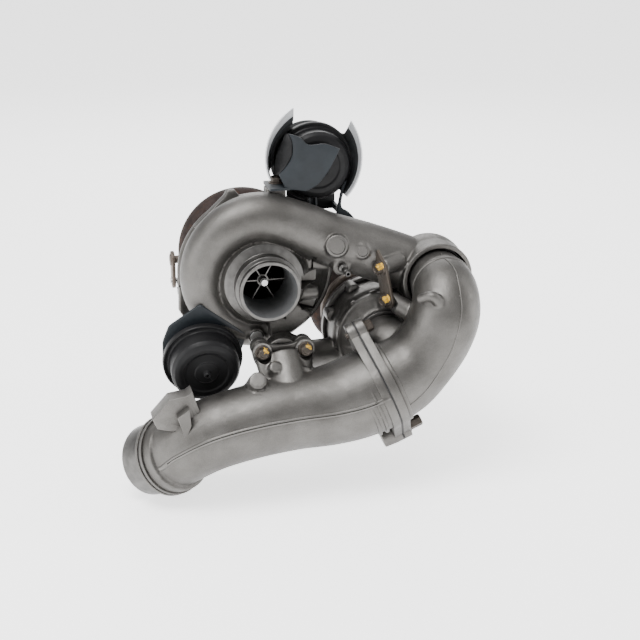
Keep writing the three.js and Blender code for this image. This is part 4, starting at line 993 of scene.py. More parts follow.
# ---------------------------------------------------------------- joint between the elbow and the duct
def joint_pieces():
    """The gasket, the two bolts, and the bypass flap on its pin."""
    gasket = joint_plate(-0.4, 0.4, 0)
    cut(gasket, rod((-2, 0, 0), (2, 0, 0), PIPE_BORE, edge=0, sides=96))
    finished(across_joint(gasket), "joint_gasket", "duct_gasket", material=RUBBER)
    along = INTO_JOINT.to_3x3() @ Vector((1, 0, 0))
    for name, side, head in (("upper", 1, 7.5), ("lower", -1, 14.0)):
        face = INTO_JOINT @ Vector(at_lug(JOINT_GAP + JOINT_PLATE, side))
        finished(screw(face, along, head, 20, turn=0.3), f"{name}_flange_bolt", f"{name}_joint_bolt")
    disc = lathe([(0, -2.6), (24.5, -2.6), (26, -1.6), (26, 0.4), (0, 0.4)], axis=(1, 0, 0))
    rib = ring(15, 17, -3.3, -2, axis=(1, 0, 0))
    barrel = rod((-4, -10, 28), (-4, 10, 28), 4)
    web = block((3, 16, 14), (-1.5, 0, 20), 0.8)
    flap = weld(disc, rib, barrel, web)
    cut(flap, drill((-4, -11, 28), (-4, 11, 28), 2.08))
    finished(across_joint(flap), "bypass_flap_disc", "bypass_flap", material=DARK_STEEL)
    pin = across_joint(rod((-4, -23, 28), (-4, 23, 28), 2))
    finished(pin, "bypass_hinge_pin", "bypass_pin", material=STEEL)


# ---------------------------------------------------------------- small pieces on the charge air side
def small_pipe_parts():
    seal = ring(28.6, 29.7, -55, -52, (BULB.x, 0, BULB.z), edge=0.4)
    finished(seal, "elbow_lip_seal", "elbow_seal", material=RUBBER)
    o_ring = moved(ring(32.9, 34.8, 0.8, 3.8, edge=0.9), INTO_SPIGOT)
    finished(o_ring, "spigot_o_ring", "spigot_seal", material=RUBBER)
    for i, side in enumerate((-1, 1)):
        bolt = screw(at_pad(side, -8), (0, -1, 0), 6, 16, turn=0.2 + 0.4 * i, mark=(0.55, -0.3, 0.8))
        finished(bolt, f"pad_screw_{i + 1}", f"pad_bolt_{i + 1}")
    nipple = lathe([
        (1.5, -74), (2.2, -74), (2.9, -72.5), (2.3, -72), (2.3, -69.5), (3.2, -68), (2.5, -67.4), (2.5, -59),
        (4.6, -57.5), (4.6, -54.5), (4, -53.5), (4, -42), (1.5, -42),
    ], (NIPPLE.x, 0, NIPPLE.z), edge=0.25, material=MACHINED)
    finished(nipple, "boost_pipe_nipple", "boost_nipple")


def support_strap():
    """The strap on edge between the discharge duct and the elbow, with its two bolts."""
    side = STRAP_OUT.cross(STRAP_UP)
    length = (STRAP_UPPER - STRAP_LOWER).length
    place = Matrix((side, STRAP_OUT, STRAP_UP)).transposed().to_4x4()
    place.translation = STRAP_UPPER
    top = [(8, -length / 2), (8, 2), (5, 9), (1.8, 16), (0, 17.5), (-2, 13), (-8, 3)]
    outline = arc(0, -length, 9, 180, 360, 20) + top
    strap = plate(outline, 0, 3, 0.7, place, BOLT, [(0, 0, HOLE_R), (0, -length, HOLE_R)])
    finished(strap, "support_strap_plate", "support_strap")
    for name, point in (("upper", STRAP_UPPER), ("lower", STRAP_LOWER)):
        bolt = screw(point + STRAP_OUT * 3, STRAP_OUT, 6, 11, mark=(0.3, -1, 0.9))
        finished(bolt, f"strap_screw_{name}", f"strap_bolt_{name}")


# ---------------------------------------------------------------- small, high-pressure stage
def about_small(piece):
    """Moves a piece laid out about its own origin onto the high-pressure rotor's axis."""
    return moved(piece, Matrix.Translation(Vector((HPX, 0, HPZ))))


def small_compressor_housing():
    port_x, port_z = PAD.x - HPX, PAD.z - 8 - HPZ
    turns = scroll(60, 210, (36, 38), (-20, -20), (9, 14), 12)
    run = turns + [
        (-52, -25, -18, 14), (-76, -35, -14, 14.5), (port_x + 6, -49, port_z, 15), (port_x, -58, port_z, 16),
        (port_x, PAD.y + 1.5, port_z, 16),
    ]
    shell = lathe([
        (0, 0), (47, 0), (47, -30), (42, -39.5), (32, -43.5), (29.5, -46), (29.5, -51), (0, -51),
    ], edge=2)
    dome = ring(39.5, 44.5, -40, -30, edge=1.5)
    ribs = []
    for i in range(7):
        angle = math.radians(100 + 30 * i)
        across = Vector((math.cos(angle), 0, math.sin(angle)))
        ribs.append(rod(across * 30 + Vector((0, -43, 0)), across * 45.5 + Vector((0, -33, 0)), 2.6, 3.2, 20))
    lugs = []
    for degrees in (75, 118, 160, 205, 250):
        angle = math.radians(degrees)
        lugs.append(along_y(46 * math.cos(angle), 46 * math.sin(angle), -17, 0, 6.5))
    pad = along_y(port_x, port_z, PAD.y + 9.5, PAD.y + 2, 16.5)
    body = cast([loft(run, 150, 44), shell, dome, *ribs, *lugs, pad], ALUMINIUM, 7)
    flange = lathe([(40, -6), (51, -6), (51, 0), (40, 0)], edge=0.6, sides=160)
    collar = lathe([
        (20, -44), (28.4, -44), (28.4, -48), (30, -48.6), (30, -52), (20, -52),
    ], edge=0.6, sides=160, material=MACHINED)
    bolts_x, bolts_z = (port_x - PAD_REACH, port_x + PAD_REACH), port_z + 8
    ears = [along_y(x, bolts_z, PAD.y + 9.5, PAD.y + 1.5, 9, edge=0.8) for x in bolts_x]
    weld(body, flange, collar, *ears)
    throat = lathe([
        (0, -53), (24, -53), (23, -46), (16.6, -32), (16.6, -18), (19, -14.5), (21.6, -12.5), (21.6, -10),
        (36, -10), (36, -7), (22, -7), (22, 1), (0, 1),
    ], edge=0.6, sides=128, material=MACHINED)
    room = ball(37.3, (BULB.x - HPX, BULB.y, -4.5 - HPZ))
    mouth = along_y(port_x, port_z, PAD.y + 0.5, PAD.y + 13, 12, edge=0, material=MACHINED)
    face = along_y(port_x, port_z, PAD.y - 5, PAD.y + 1.5, 40, edge=0, material=MACHINED)
    screws = [along_y(x, bolts_z, PAD.y, PAD.y + 11, HOLE_R) for x in bolts_x]
    cut(body, throat, loft(run[1:], 130, 36, shrink=4), room, face, mouth, *screws)
    finished(about_small(body), "small_compressor_cover", "small_compressor_housing")


def small_turbine_housing():
    face, flange_y, flange_z = -HPX + 185, 75, 11
    turns = [(face + 1, flange_y - 19, flange_z - 22, 17), (50, 62, -30, 17), (34, 66, -34, 17)]
    turns += scroll(-60, 260, (33, 33), (66, 66), (17, 12), 12)
    bypass = [
        (face + 1, flange_y + 17, flange_z + 12, 14), (44, 82, 20, 14), (20, 82, 12, 14), (4, 84, 4, 14),
    ]
    core = lathe([
        (0, 42), (35.5, 42), (35.5, 48), (41.5, 54), (41.5, 78), (29.5, 86), (29.5, 100), (0, 100),
    ], edge=2)
    body = cast([loft(turns, 140, 40), core, loft(bypass, 50, 36)], IRON, 7)
    across_to_side = Matrix.Rotation(math.pi / 2, 4, "Z") @ Matrix.Scale(-1, 4, (0, 1, 0))
    flange_place = Matrix.Translation((0, flange_y, flange_z)) @ across_to_side
    flange = moved(plate(rounded_box(80, 84, 9), face - 9, face, 0.8), flange_place)
    rear = ring(24.5, 30, 92, 100, edge=0.6)
    weld(body, flange, rear)
    flat = block((10, 120, 120), (face + 5, flange_y, flange_z), 0)
    bore = lathe([
        (0, 41), (32, 41), (32, 54), (23, 55), (23, 63), (19, 68), (19, 80), (24, 92), (24, 101), (0, 101),
    ], edge=0.4, material=MACHINED_IRON)

    def through_flange(depth, y, z, radius):
        y, z = flange_y + y, flange_z + z
        return drill((face - depth, y, z), (face + 1, y, z), radius)

    studs = [through_flange(10, y, z, 4.2) for y in (-31, 31) for z in (-33, 33)]
    ports = [through_flange(8.5, y, z, radius) for y, z, radius in ((-17, -20, 11.5), (17, 12, 9.5))]
    nozzle = ring(21, 36, 56, 62, edge=0)
    passages = [loft(turns, 120, 36, shrink=4), loft(bypass, 40, 32, shrink=4)]
    cut(body, flat, bore, nozzle, *passages, *ports, *studs)
    finished(about_small(body), "small_turbine_casing", "small_turbine_housing")


def rounded_box(width, height, radius):
    """(x, z) points round a rectangle with rounded corners."""
    x, z = width / 2 - radius, height / 2 - radius
    corners = ((x, z), (-x, z), (-x, -z), (x, -z))
    return [p for i, (cx, cz) in enumerate(corners) for p in arc(cx, cz, radius, 90 * i, 90 * i + 90, 8)]


# ---------------------------------------------------------------- large, low-pressure turbine side
def large_turbine_housing():
    inlet_x, inlet_z = FLAP_AXIS.x, FLAP_MIDDLE_Z
    turns = [(inlet_x, 97, inlet_z, 21), (inlet_x, 90, inlet_z, 21), (56, 80, -8, 20.5)]
    turns += scroll(-38, 287, (48, 48), (72, 72), (20, 14), 16)
    x, z = CHAMBER.x, CHAMBER.z
    core = lathe([(0, 48), (41.5, 48), (41.5, 55), (49.5, 60), (51.5, 84), (40, 93.5), (0, 93.5)], edge=2)
    chamber = along_y(x, z, 86, 122, 42.8, edge=2)
    boss = rod((-44, GATE_Y, GATE_Z), (-60, GATE_Y, GATE_Z), 9.6, edge=1)
    ribs = [rod((0, 56, 0), (62 * math.cos(a), 66, 62 * math.sin(a)), 4, 3) for a in (2.2, 3.0, 3.8)]
    body = cast([loft(turns, 160, 48), core, chamber, boss, *ribs], IRON, 7)
    ring_flange = along_y(x, z, 117, 126, 48, edge=0.8, sides=128)
    cut(ring_flange, block((30, 60, 120), (52, 126, 0), 0))
    inlet = along_y(inlet_x, inlet_z, 88, 97.8, 26, edge=0.8)
    weld(body, ring_flange, inlet)
    bore = lathe([
        (0, 46), (38, 46), (38, 60), (31, 61), (31, 75), (26, 82), (26, 95), (0, 95),
    ], edge=0.4, material=MACHINED_IRON)
    nozzle = ring(28, 48, 62, 73, edge=0)
    passage = loft(turns[1:], 130, 40, shrink=4)
    hollow = along_y(x, z, 92, 128, 39, edge=2)
    spindle_way = drill((-20, GATE_Y, GATE_Z), (-62, GATE_Y, GATE_Z), 6.3)
    port = along_y(GATE_PORT[0], GATE_PORT[1], 78, 93, 5, edge=0)
    inlet_way = along_y(inlet_x, inlet_z, 88, 100, 17, edge=0)
    flat = block((60, 4, 60), (inlet_x + 22, 99.8, inlet_z), 0)
    cut(body, bore, nozzle, passage, hollow, spindle_way, port, inlet_way, flat)
    finished(body, "large_turbine_casing", "large_turbine_housing")


def crossover():
    """The hot pipe between the turbines, with the exhaust flap's tower."""
    x, y, z = FLAP_AXIS.x, FLAP_AXIS.y, FLAP_MIDDLE_Z
    line = [
        (HPX, 100.3, HPZ, 25), (HPX, 112, HPZ, 25), (HPX - 5, 126, HPZ + 8, 24), (100, 138, -42, 23),
        (80, 141, -14, 22.5), (x, 130, z, 22), (x, 118, z, 22), (x, 98.1, z, 22),
    ]
    body = cast([loft(line, 120, 48), rod((x, y, z), (x, y, 58), 8.8)], IRON, 8)
    joints = [along_y(HPX, HPZ, 100.3, 108.3, 32, edge=0.8), along_y(x, z, 98.1, 106.1, 26, edge=0.8)]
    beads = [ring(20, 24.2, 118, 121, (x, 0, z), edge=1), ring(22, 27, 110.5, 113, (HPX, 0, HPZ), edge=1)]
    weld(body, *joints, *beads)
    ways = [
        along_y(HPX, HPZ, 99, 110, 21, edge=0), along_y(x, z, 97, 129, 17.8, edge=0),
        drill((x, y, z - 18), (x, y, 60), 4.3), drill((x, y, 46), (x, y, 60), 6.3),
    ]
    cut(body, loft(line, 100, 40, shrink=4), *ways)
    finished(body, "crossover_casting", "crossover_pipe")


def bearing_housing(prefix, spigot, flange, core, rear, length, journal, back, seats, put):
    """The oil-fed middle casting, with its feed pad on top and its drain below."""
    body = lathe([
        (0, back + 1.5), (spigot - 1, back + 1.5), (spigot - 1, 0.3), (flange, 0.3), (flange, 7),
        (core + 4, 7), (core, 11), (core, length - 11), (rear - 3, length - 7), (rear, length - 6),
        (rear, length - 0.3), (0, length - 0.3),
    ], edge=1.2, material=IRON)
    half = length / 2
    feed = rod((0, half, 0), (0, half, core + 9), 11, edge=0.8, material=IRON)
    drain = rod((0, half, 0), (0, half, -core - 14), 15, edge=0.8, material=IRON)
    webs = [
        rod((side * (core - 6), 8, 0), (side * (core - 3), length - 8, 0), 6, edge=1, material=IRON)
        for side in (-1, 1)
    ]
    weld(body, feed, drain, *webs)
    ways = [
        ((0, -20, 0), (0, length + 1, 0), journal + 1),
        ((0, seats[0] - 0.3, 0), (0, seats[1] + 8.3, 0), journal + 4),
        ((0, half, 0), (0, half, core + 12), 4),
        ((0, half, 0), (0, half, -core - 16), 9),
        ((0, half, core + 8.9), (0, half, core + 12), 11.5),
    ]
    cut(body, *[drill(start, end, radius, MACHINED_IRON) for start, end, radius in ways])
    finished(put(body), f"{prefix}_bearing_casting", f"{prefix}_bearing_housing")


def clamp_band(prefix, inner, y, put):
    """A split band with rolled edges and a gap at the bottom."""
    band = lathe([
        (inner, y - 5), (inner + 2.6, y - 5), (inner + 4.5, y - 3.6), (inner + 4.5, y + 3.6),
        (inner + 2.6, y + 5), (inner, y + 5),
    ], edge=0.5, sides=128, material=DARK_STEEL)
    cut(band, block((10, 20, 20), (0, y, -inner - 2), 0))
    finished(put(band), f"{prefix}_v_band", f"{prefix}_clamp_band")


def clamp_plate():
    outline = arc(0, 0, RIM_CAD - 3, 160, 200, 24) + arc(0, 0, RIM_CAD - 20, 200, 160, 24)
    holes = [(x, z, HOLE_R) for x, z in CLAMP_SCREWS]
    piece = plate(outline, 7.3, 10.5, 0.5, None, DARK_STEEL, holes)
    finished(piece, "large_clamp_segment", "large_clamp_plate")
    for i, (x, z) in enumerate(CLAMP_SCREWS):
        bolt = screw((x, 10.5, z), (0, 1, 0), 4.5, 14, washer=1.0, dish=0.5)
        finished(bolt, f"large_clamp_bolt_{i + 1}", f"large_clamp_screw_{i + 1}")


# ---------------------------------------------------------------- rotors
def blade_wheel(body, hub, tip, blades, wrap, thickness, material, steps=14):
    """Adds thin twisted blades to a turned body. hub and tip are matching lines of (radius, y)."""
    hub_line = curve_points([(r, y, 0, 0) for r, y in hub], steps)
    tip_line = curve_points([(r, y, 0, 0) for r, y in tip], steps)
    for blade in range(blades):
        vertices, faces = [], []
        for i, (low, high) in enumerate(zip(hub_line, tip_line)):
            turn = 2 * math.pi * blade / blades + math.radians(wrap) * i / steps
            for k in range(4):
                share = k / 3
                radius = (low[0] - 1) * (1 - share) + high[0] * share
                y = low[1] * (1 - share) + high[1] * share
                half = thickness * (1 - 0.45 * share) / 2 / radius
                for side in (-1, 1):
                    angle = turn + side * half
                    vertices.append((radius * math.cos(angle), y, radius * math.sin(angle)))
        for i in range(steps):
            a, b = 8 * i, 8 * i + 8
            loop = [0, 2, 4, 6, 7, 5, 3, 1]
            for j in range(8):
                p, q = loop[j], loop[(j + 1) % 8]
                faces.append((a + p, a + q, b + q, b + p))
        for end in (0, 8 * steps):
            faces += [(end + 2 * k, end + 2 * k + 2, end + 2 * k + 3, end + 2 * k + 1) for k in range(3)]
        weld(body, solid_closed(vertices, faces, material))
    return body


def solid_closed(vertices, faces, material):
    """A solid whose faces may be given either way round."""
    piece = solid(vertices, faces, material)
    mesh = bmesh.new()
    mesh.from_mesh(piece.data)
    bmesh.ops.recalc_face_normals(mesh, faces=mesh.faces)
    mesh.to_mesh(piece.data)
    mesh.free()
    return outwards(piece)


def wheel_profile(hub):
    """The hub's curve as (radius, y) pairs for a lathe."""
    return [(s[0], s[1]) for s in curve_points([(r, y, 0, 0) for r, y in hub], 16)]


def rotor(prefix, nose, back, in_r, out_r, turbine_y, turbine_r, put):
    """The compressor wheel, its nut and the turbine wheel. The shaft keeps its CAD shape."""
    length = back - nose
    hub = [
        (0.2 * out_r, nose + 0.06 * length), (0.36 * out_r, nose + 0.55 * length),
        (0.98 * out_r, nose + 0.93 * length),
    ]
    tip = [
        (in_r, nose + 0.08 * length), (1.03 * in_r, nose + 0.5 * length), (out_r - 0.1, nose + 0.8 * length),
    ]
    line = wheel_profile(hub)
    body = lathe([(3.3, line[0][1])] + line + [(out_r, back - 2), (out_r, back), (3.3, back)],
                 edge=0.15, material=MACHINED)
    wheel = blade_wheel(body, hub, tip, 6, -40, 1.2, MACHINED)
    finished(put(wheel), f"{prefix}_compressor_impeller", f"{prefix}_compressor_wheel")
    nut = hex_head((0, nose + 0.9, 0), (0, -1, 0), 5.9, 8, MACHINED)
    cut(nut, drill((0, nose - 20, 0), (0, 0, 0), 3.3, MACHINED))
    finished(put(nut), f"{prefix}_rotor_nut", f"{prefix}_wheel_nut")
    y0, y1 = turbine_y
    r0, r1 = turbine_r
    height = y1 - y0
    hub = [(0.95 * r0, y0 + 0.1 * height), (0.42 * r0, y0 + 0.45 * height), (0.3 * r0, y0 + 0.97 * height)]
    tip = [(r0 - 0.1, y0 + 0.36 * height), (r1 + 1, y0 + 0.55 * height), (r1, y0 + 0.95 * height)]
    disc = [(0, y0), (r0, y0), (r0, y0 + 0.12 * height)]
    body = lathe(disc + wheel_profile(hub) + [(4, y1 + 3), (0, y1 + 3)], edge=0.15, material=DARK_STEEL)
    wheel = blade_wheel(body, hub, tip, 6, 30, 1.8, DARK_STEEL)
    finished(put(wheel), f"{prefix}_turbine_rotor", f"{prefix}_turbine_wheel")


# ---------------------------------------------------------------- actuators
CAN_FRONT = 25
ROD_R = 3
ON_GATE_CAN = Matrix.Translation(GATE_CAN) @ Matrix.Rotation(GATE_TILT, 4, "X")
ON_FLAP_CAN = Matrix.Translation(FLAP_CAN)
GATE_SPINDLE = Vector((-65.5, GATE_Y, GATE_Z))


def can(prefix, place):
    """A pressed vacuum can: a stepped front with a hose nipple, and a rear folded over its rim."""
    front = lathe([
        (0, -30), (2.3, -30), (3.2, -28.8), (2.6, -28.2), (2.6, -26.2), (3.6, -25.4), (10.5, -25),
        (11.6, -24), (20, -23.8), (21.4, -25), (25.4, -25), (29.8, -23.4), (32.4, -20), (32.4, -4.2),
        (33.4, -2.9), (37, -2.7), (37, -0.15), (30.9, -0.15), (30.9, -19), (23.4, -23), (1.5, -23),
        (1.5, -22.4), (0, -22.4),
    ], edge=0.7, sides=128, material=BLACK_AND_SHADE)
    cut(front, drill((0, -40, 0), (0, -20, 0), 1.4, BLACK_AND_SHADE))
    finished(moved(front, place), f"{prefix}_can_front_shell", f"{prefix}_can_front")
    rear = lathe([
        (30.9, 0.15), (37.3, 0.15), (37.3, -3.0), (35.4, -3.0), (35.4, -3.6), (37.4, -3.8), (38, -3.0),
        (38, 2.2), (37.2, 3), (33.4, 3), (31.2, 11), (29.8, 12), (9, 12), (9, 17), (4, 17), (4, 10.5),
        (28.4, 10.5), (30.9, 3),
    ], edge=0.5, sides=128, material=BLACK_AND_SHADE)
    finished(moved(rear, place), f"{prefix}_can_rear_shell", f"{prefix}_can_rear")


def bar(points, radius, material):
    """A bent round bar."""
    parts = [rod(a, b, radius, edge=0.4, sides=32, material=material) for a, b in zip(points, points[1:])]
    for point in points[1:-1]:
        elbow = ball(radius, point, 32)
        elbow.data.materials.append(material)
        parts.append(elbow)
    return weld(parts[0], *parts[1:])


def crank(reach, z0, z1, spindle_end, slack, place):
    """A slotted lever on its spindle, laid out with its arm along +X and its spindle along +Z."""
    outline = arc(0, 0, 9, 90, 270, 24) + arc(reach + slack, 0, 7, -90, 90, 24)
    lever = plate(outline, -z1, -z0, 0.6, material=DARK_STEEL)
    slot_outline = arc(reach - slack, 0, 3.4, 90, 270, 16) + arc(reach + slack, 0, 3.4, -90, 90, 16)
    cut(lever, plate(slot_outline, -z1 - 3, -z0 + 3, 0, material=DARK_STEEL))
    spindle = rod((0, -(z0 + z1) / 2, 0), (0, -spindle_end, 0), 4, edge=0.3, material=DARK_STEEL)
    boss = rod((0, -z0 + 1.2, 0), (0, -z0 - 0.4, 0), 6, edge=0.4, material=DARK_STEEL)
    weld(lever, spindle)
    weld(lever, boss)
    return moved(lever, place @ Matrix.Rotation(-math.pi / 2, 4, "X"))


def pivot(at, spindle, arm):
    """The frame of a crank: +Z along the spindle and +X along the arm."""
    place = Matrix((arm, spindle.cross(arm), spindle)).transposed().to_4x4()
    place.translation = at
    return place


def wastegate():
    can("wastegate", ON_GATE_CAN)
    along = ON_GATE_CAN.to_3x3() @ Vector((0, 1, 0))
    to_spindle = Vector((0, GATE_SPINDLE.y - GATE_CAN.y, GATE_SPINDLE.z - GATE_CAN.z))
    level = to_spindle.dot(along)
    arm = math.sqrt(to_spindle.length_squared - level * level)
    pin_y = level - 5
    piece = bar([(0, -22, 0), (0, pin_y, 0), (-9, pin_y, 0)], ROD_R, STEEL)
    nut = lathe([(3, pin_y - 24), (6, pin_y - 24), (6, pin_y - 19), (3, pin_y - 19)],
                edge=0.2, material=STEEL, limit=hexagon_limit(10))
    finished(moved(together([piece, nut]), ON_GATE_CAN), "wastegate_push_rod", "wastegate_rod")
    corners = [(0, 52), (45, 15), (38, -8), (0, -36), (-36, -8), (-36, 14), (-30, 31)]
    outline = [tuple(p) for p in softened(corners, 3, True)]
    sheet = plate(outline, 12.3, 15.3, 0.8, ON_GATE_CAN, BRACKET)
    neck_way = moved(drill((0, 0, 0), (0, 30, 0), 9.7, BRACKET), ON_GATE_CAN)
    cut(sheet, neck_way, loft(volute_stations(), 160, 48, -0.4), drill((0, -11, 0), (0, 1, 0), RIM_R + 0.3))
    finished(sheet, "wastegate_bracket_plate", "wastegate_bracket")
    turn = Matrix.Rotation(-5 / arm, 3, "X")
    arm_axis = turn @ Vector((0, math.sin(GATE_TILT), -math.cos(GATE_TILT)))
    place = pivot(GATE_SPINDLE, Vector((1, 0, 0)), arm_axis)
    finished(crank(arm, -3.5, 0, 50, 1.2, place), "wastegate_lever", "wastegate_crank")
    port_x, port_z = GATE_PORT
    disc = along_y(port_x, port_z, 92.3, 95.3, 7, edge=0.6, material=DARK_STEEL)
    link = drill((port_x, 95, port_z), (port_x, GATE_Y, GATE_Z), 3.5, DARK_STEEL)
    hub = rod((-23, GATE_Y, GATE_Z), (-14, GATE_Y, GATE_Z), 7.5, edge=0.6, material=DARK_STEEL)
    weld(disc, link, hub)
    cut(disc, drill((-25, GATE_Y, GATE_Z), (-12, GATE_Y, GATE_Z), 4.3, DARK_STEEL))
    finished(disc, "wastegate_valve_plate", "wastegate_flap")


def exhaust_flap():
    can("exhaust_flap", ON_FLAP_CAN)
    x, y, z, reach = FLAP_AXIS.x, FLAP_AXIS.y, FLAP_MIDDLE_Z, 16
    pin_x, pin_y = x + reach - FLAP_CAN.x, y - 6 - FLAP_CAN.y
    level = 70 - FLAP_CAN.z
    line = [(0, -22, 0), (0, 46, 0), (pin_x, 82, level), (pin_x, pin_y, level), (pin_x, pin_y, level - 11.5)]
    finished(moved(bar(line, ROD_R, STEEL), ON_FLAP_CAN), "exhaust_flap_push_rod", "exhaust_flap_rod")
    arm_axis = Matrix.Rotation(-6 / reach, 3, "Z") @ Vector((1, 0, 0))
    place = pivot(Vector((x, y, 60)), Vector((0, 0, -1)), arm_axis)
    finished(crank(reach, -3.5, 0, 76, 2, place), "exhaust_flap_lever", "exhaust_flap_crank")
    disc = rod((x, y - 1.5, z), (x, y + 1.5, z), 17, edge=0.4, material=DARK_STEEL)
    hub = rod((x, y, z - 15), (x, y, z + 15), 6.5, edge=0.4, material=DARK_STEEL)
    weld(disc, hub)
    cut(disc, drill((x, y, z - 19), (x, y, z + 19), 4.3, DARK_STEEL))
    finished(disc, "exhaust_flap_disc", "exhaust_flap")


def saddle_bracket():
    """The sheet in front of the upper can, with a folded left edge and a foot on the compressor housing."""
    front = FLAP_CAN.y - CAN_FRONT - 13
    outline = smooth_outline([
        (28.5, 136.7, 0), (38.8, 132.9), (47.3, 125.4), (62.6, 125.5), (77.1, 120, 0), (71, 108), (63.5, 96),
        (54, 86), (44, 81.5, 0), (34, 83.3, 0), (24.2, 86.5, 0), (18.6, 98.7, 0), (25.3, 105.4),
        (31.6, 115.9), (31.7, 128.6),
    ], 5)
    sheet = plate(outline, front, front + 2.2, 0.5, None, BRACKET)
    near = [(28.5, 136.7), (31.4, 128), (31.2, 116), (25.3, 105.8), (19, 98.7)]
    far = [(28.8, 133.5), (25.6, 124), (20.8, 113.9), (18.4, 104), (17.2, 95)]
    fold = [[(x, front + depth, z) for x, z in edge] for edge, depth in ((near, 1), (far, 16))]
    # The folded flange is bracket sheet; its black is painted shade.
    flange = sheet_between(*fold, 2, BLACK_AND_SHADE)
    foot = block((19, 4 - front, 2.7), (19.5, (front + 4) / 2, 84.65), 0.5, None, BRACKET)
    tab = block((40, 8, 2.7), (30, front + 4.2, 84.65), 0.5, None, BRACKET)
    can_face = FLAP_CAN.y - CAN_FRONT - 0.3
    spacers = [
        along_y(FLAP_CAN.x + x, FLAP_CAN.z + z, front + 1, can_face, 3.5, edge=0.3, material=BRACKET)
        for x, z in ((-14, 8), (-12, -10), (6, 14))
    ]
    weld(sheet, flange, foot, tab, *spacers)
    cut(sheet, drill((20, -6, 80), (20, -6, 90), HOLE_R, BRACKET))
    finished(sheet, "saddle_bracket_sheet", "saddle_bracket")
    bolt = screw((20, -6, 86), (0, 0, 1), 6, 18, turn=0.4)
    finished(bolt, "saddle_bracket_screw", "saddle_bracket_bolt")


def exhaust_flap_strut():
    """The upright under the upper can: a waisted blade, a channel beside it and a panel behind."""
    blade = [
        (86, 84, 0), (89.4, 84, 0), (84.5, 66), (85, 57.5), (92, 52.5), (100, 43, 0), (88, 41), (76.5, 43, 0),
        (79, 50), (82, 66),
    ]
    strut = plate(smooth_outline(blade, 5), -8, -5, 0.6, None, BRACKET)
    web = block((3, 27.5, 6), (83, 6.75, 54), 0.5, None, BRACKET)
    back = [(36, 58), (36, 74), (56, 67.5), (84.5, 66), (84.5, 50), (58, 50)]
    panel = plate(back, 19.3, 20.8, 0.4, None, BLACK_AND_SHADE)
    channel = plate([(50, 72), (58, 68), (58, 52), (50, 52)], -11, -9.5, 0.4, None, BRACKET)
    lips = [block((1.5, 6, 18), (x, -13, 62), 0.3, None, BRACKET) for x in (50.8, 57.2)]
    tie = block((6, 31, 5), (54, 5, 57), 0.4, None, BLACK_AND_SHADE)
    weld(strut, web, panel, tie, channel, *lips)
    cut(strut, loft(volute_stations(), 160, 48, -0.4), drill((0, -9, 0), (0, 1, 0), RIM_R + 0.3))
    finished(strut, "exhaust_flap_strut_blade", "exhaust_flap_strut")


def thickened(sheet, thick):
    plump = sheet.modifiers.new("thickness", "SOLIDIFY")
    plump.thickness = thick
    plump.offset = 0
    return applied(sheet)


def sheet_between(near, far, thick, material):
    """A sheet of even thickness stretched between two edges with as many points each."""
    count = len(near)
    faces = [(i, i + 1, count + i + 1, count + i) for i in range(count - 1)]
    return thickened(solid(near + far, faces, material), thick)


def shield_wing(start, end_inner, end_outer, lip_start, lip_end, bend, base, steps=56, rows=26):
    """One side of the heat shield: a curved sheet whose front flares out towards a pointed end."""
    vertices, faces = [], []
    for i in range(steps + 1):
        for k in range(rows + 1):
            v = k / rows
            flare = max(0.0, (v - FLARE_FROM) / (1 - FLARE_FROM))
            back = SHIELD_BACK + (base - SHIELD_BACK) * min(1.0, v / FLARE_FROM)
            end = end_inner + (end_outer - end_inner) * flare
            angle = math.radians(start + (end - start) * i / steps)
            lip = lip_start + (lip_end - lip_start) * (i / steps) ** bend
            bead = 0.7 * math.exp(-((v - 0.62) / 0.03) ** 2)
            radius = back + (lip - base) * flare ** 1.4 + bead
            y = 24.3 - 48.3 * v
            vertices.append(SHIELD_AT + Vector((radius * math.cos(angle), y, radius * math.sin(angle))))
    row = rows + 1
    for i in range(steps):
        for k in range(rows):
            a = i * row + k
            faces.append((a, a + 1, a + row + 1, a + row))
    # Faces behind the front lip take the painted shade; the lip keeps the bright sheet.
    wing = solid(vertices, faces, SHIELD_SHADE)
    wing.data.materials.append(SHEET)
    for face in wing.data.polygons:
        face.material_index = 1 if face.index % rows >= 0.8 * rows else 0
    return thickened(wing, 1.2)


def heat_shield():
    left = shield_wing(190, 117, 112, 47, 64, 1.0, 43)
    right = shield_wing(-46, 40, 55, 39.5, 54, 2.5, 41)
    at = (SHIELD_AT.x, 0, SHIELD_AT.z)
    # The back and its bead carry the painted shade too.
    back = ring(14, SHIELD_BACK + 0.4, 23.3, 24.5, at, edge=0.4, material=SHIELD_SHADE)
    bead = ring(30, 33, 22.9, 24.9, at, edge=0.6, material=SHIELD_SHADE)
    weld(back, bead)
    finished(together([left, right, back]), "heat_shield_sheet", "heat_shield")


# ---------------------------------------------------------------- pieces whose CAD shape stays
def kept(material, *nodes):
    """Gives a CAD node that stays its detailed material."""
    for name in nodes:
        mesh = frame["nodes"][name].data
        mesh.materials.clear()
        mesh.materials.append(material)


def kept_pieces():
    for prefix in ("large", "small"):
        kept(STEEL, f"{prefix}_shaft")
        kept(BEARING, f"{prefix}_front_bearing", f"{prefix}_rear_bearing")
    for prefix in ("wastegate", "exhaust_flap"):
        kept(STEEL, f"{prefix}_diaphragm_plate")
        kept(DARK_STEEL, f"{prefix}_return_spring")
        kept(BEARING, f"{prefix}_bush")


# ---------------------------------------------------------------- staging, in metres
WORLD_STRENGTH = 1.5
FLOOR_GLOW = 1.7
FLOOR_REACH = 30
FLOOR_GAP = 0.0005
CAMERA_AT = Vector((-0.40632, -1.22262, 0.43791))
CAMERA_AIM = Vector((-0.13440, -0.13200, 0.01766))
CAMERA_LENS = 71
# Each light panel: its place from the object's middle, its watts, and its width and height.
LIGHTS = {
    "key_above": ((-0.55, -0.45, 1.5), 34, 0.9, 0.7),
    "fill_left": ((-1.6, -0.5, 0.5), 12, 0.5, 1.1),
    "rim_right": ((1.5, -0.2, 0.5), 10, 0.35, 1.2),
    "back_light": ((0.3, 1.5, 0.9), 14, 1.2, 0.6),
}


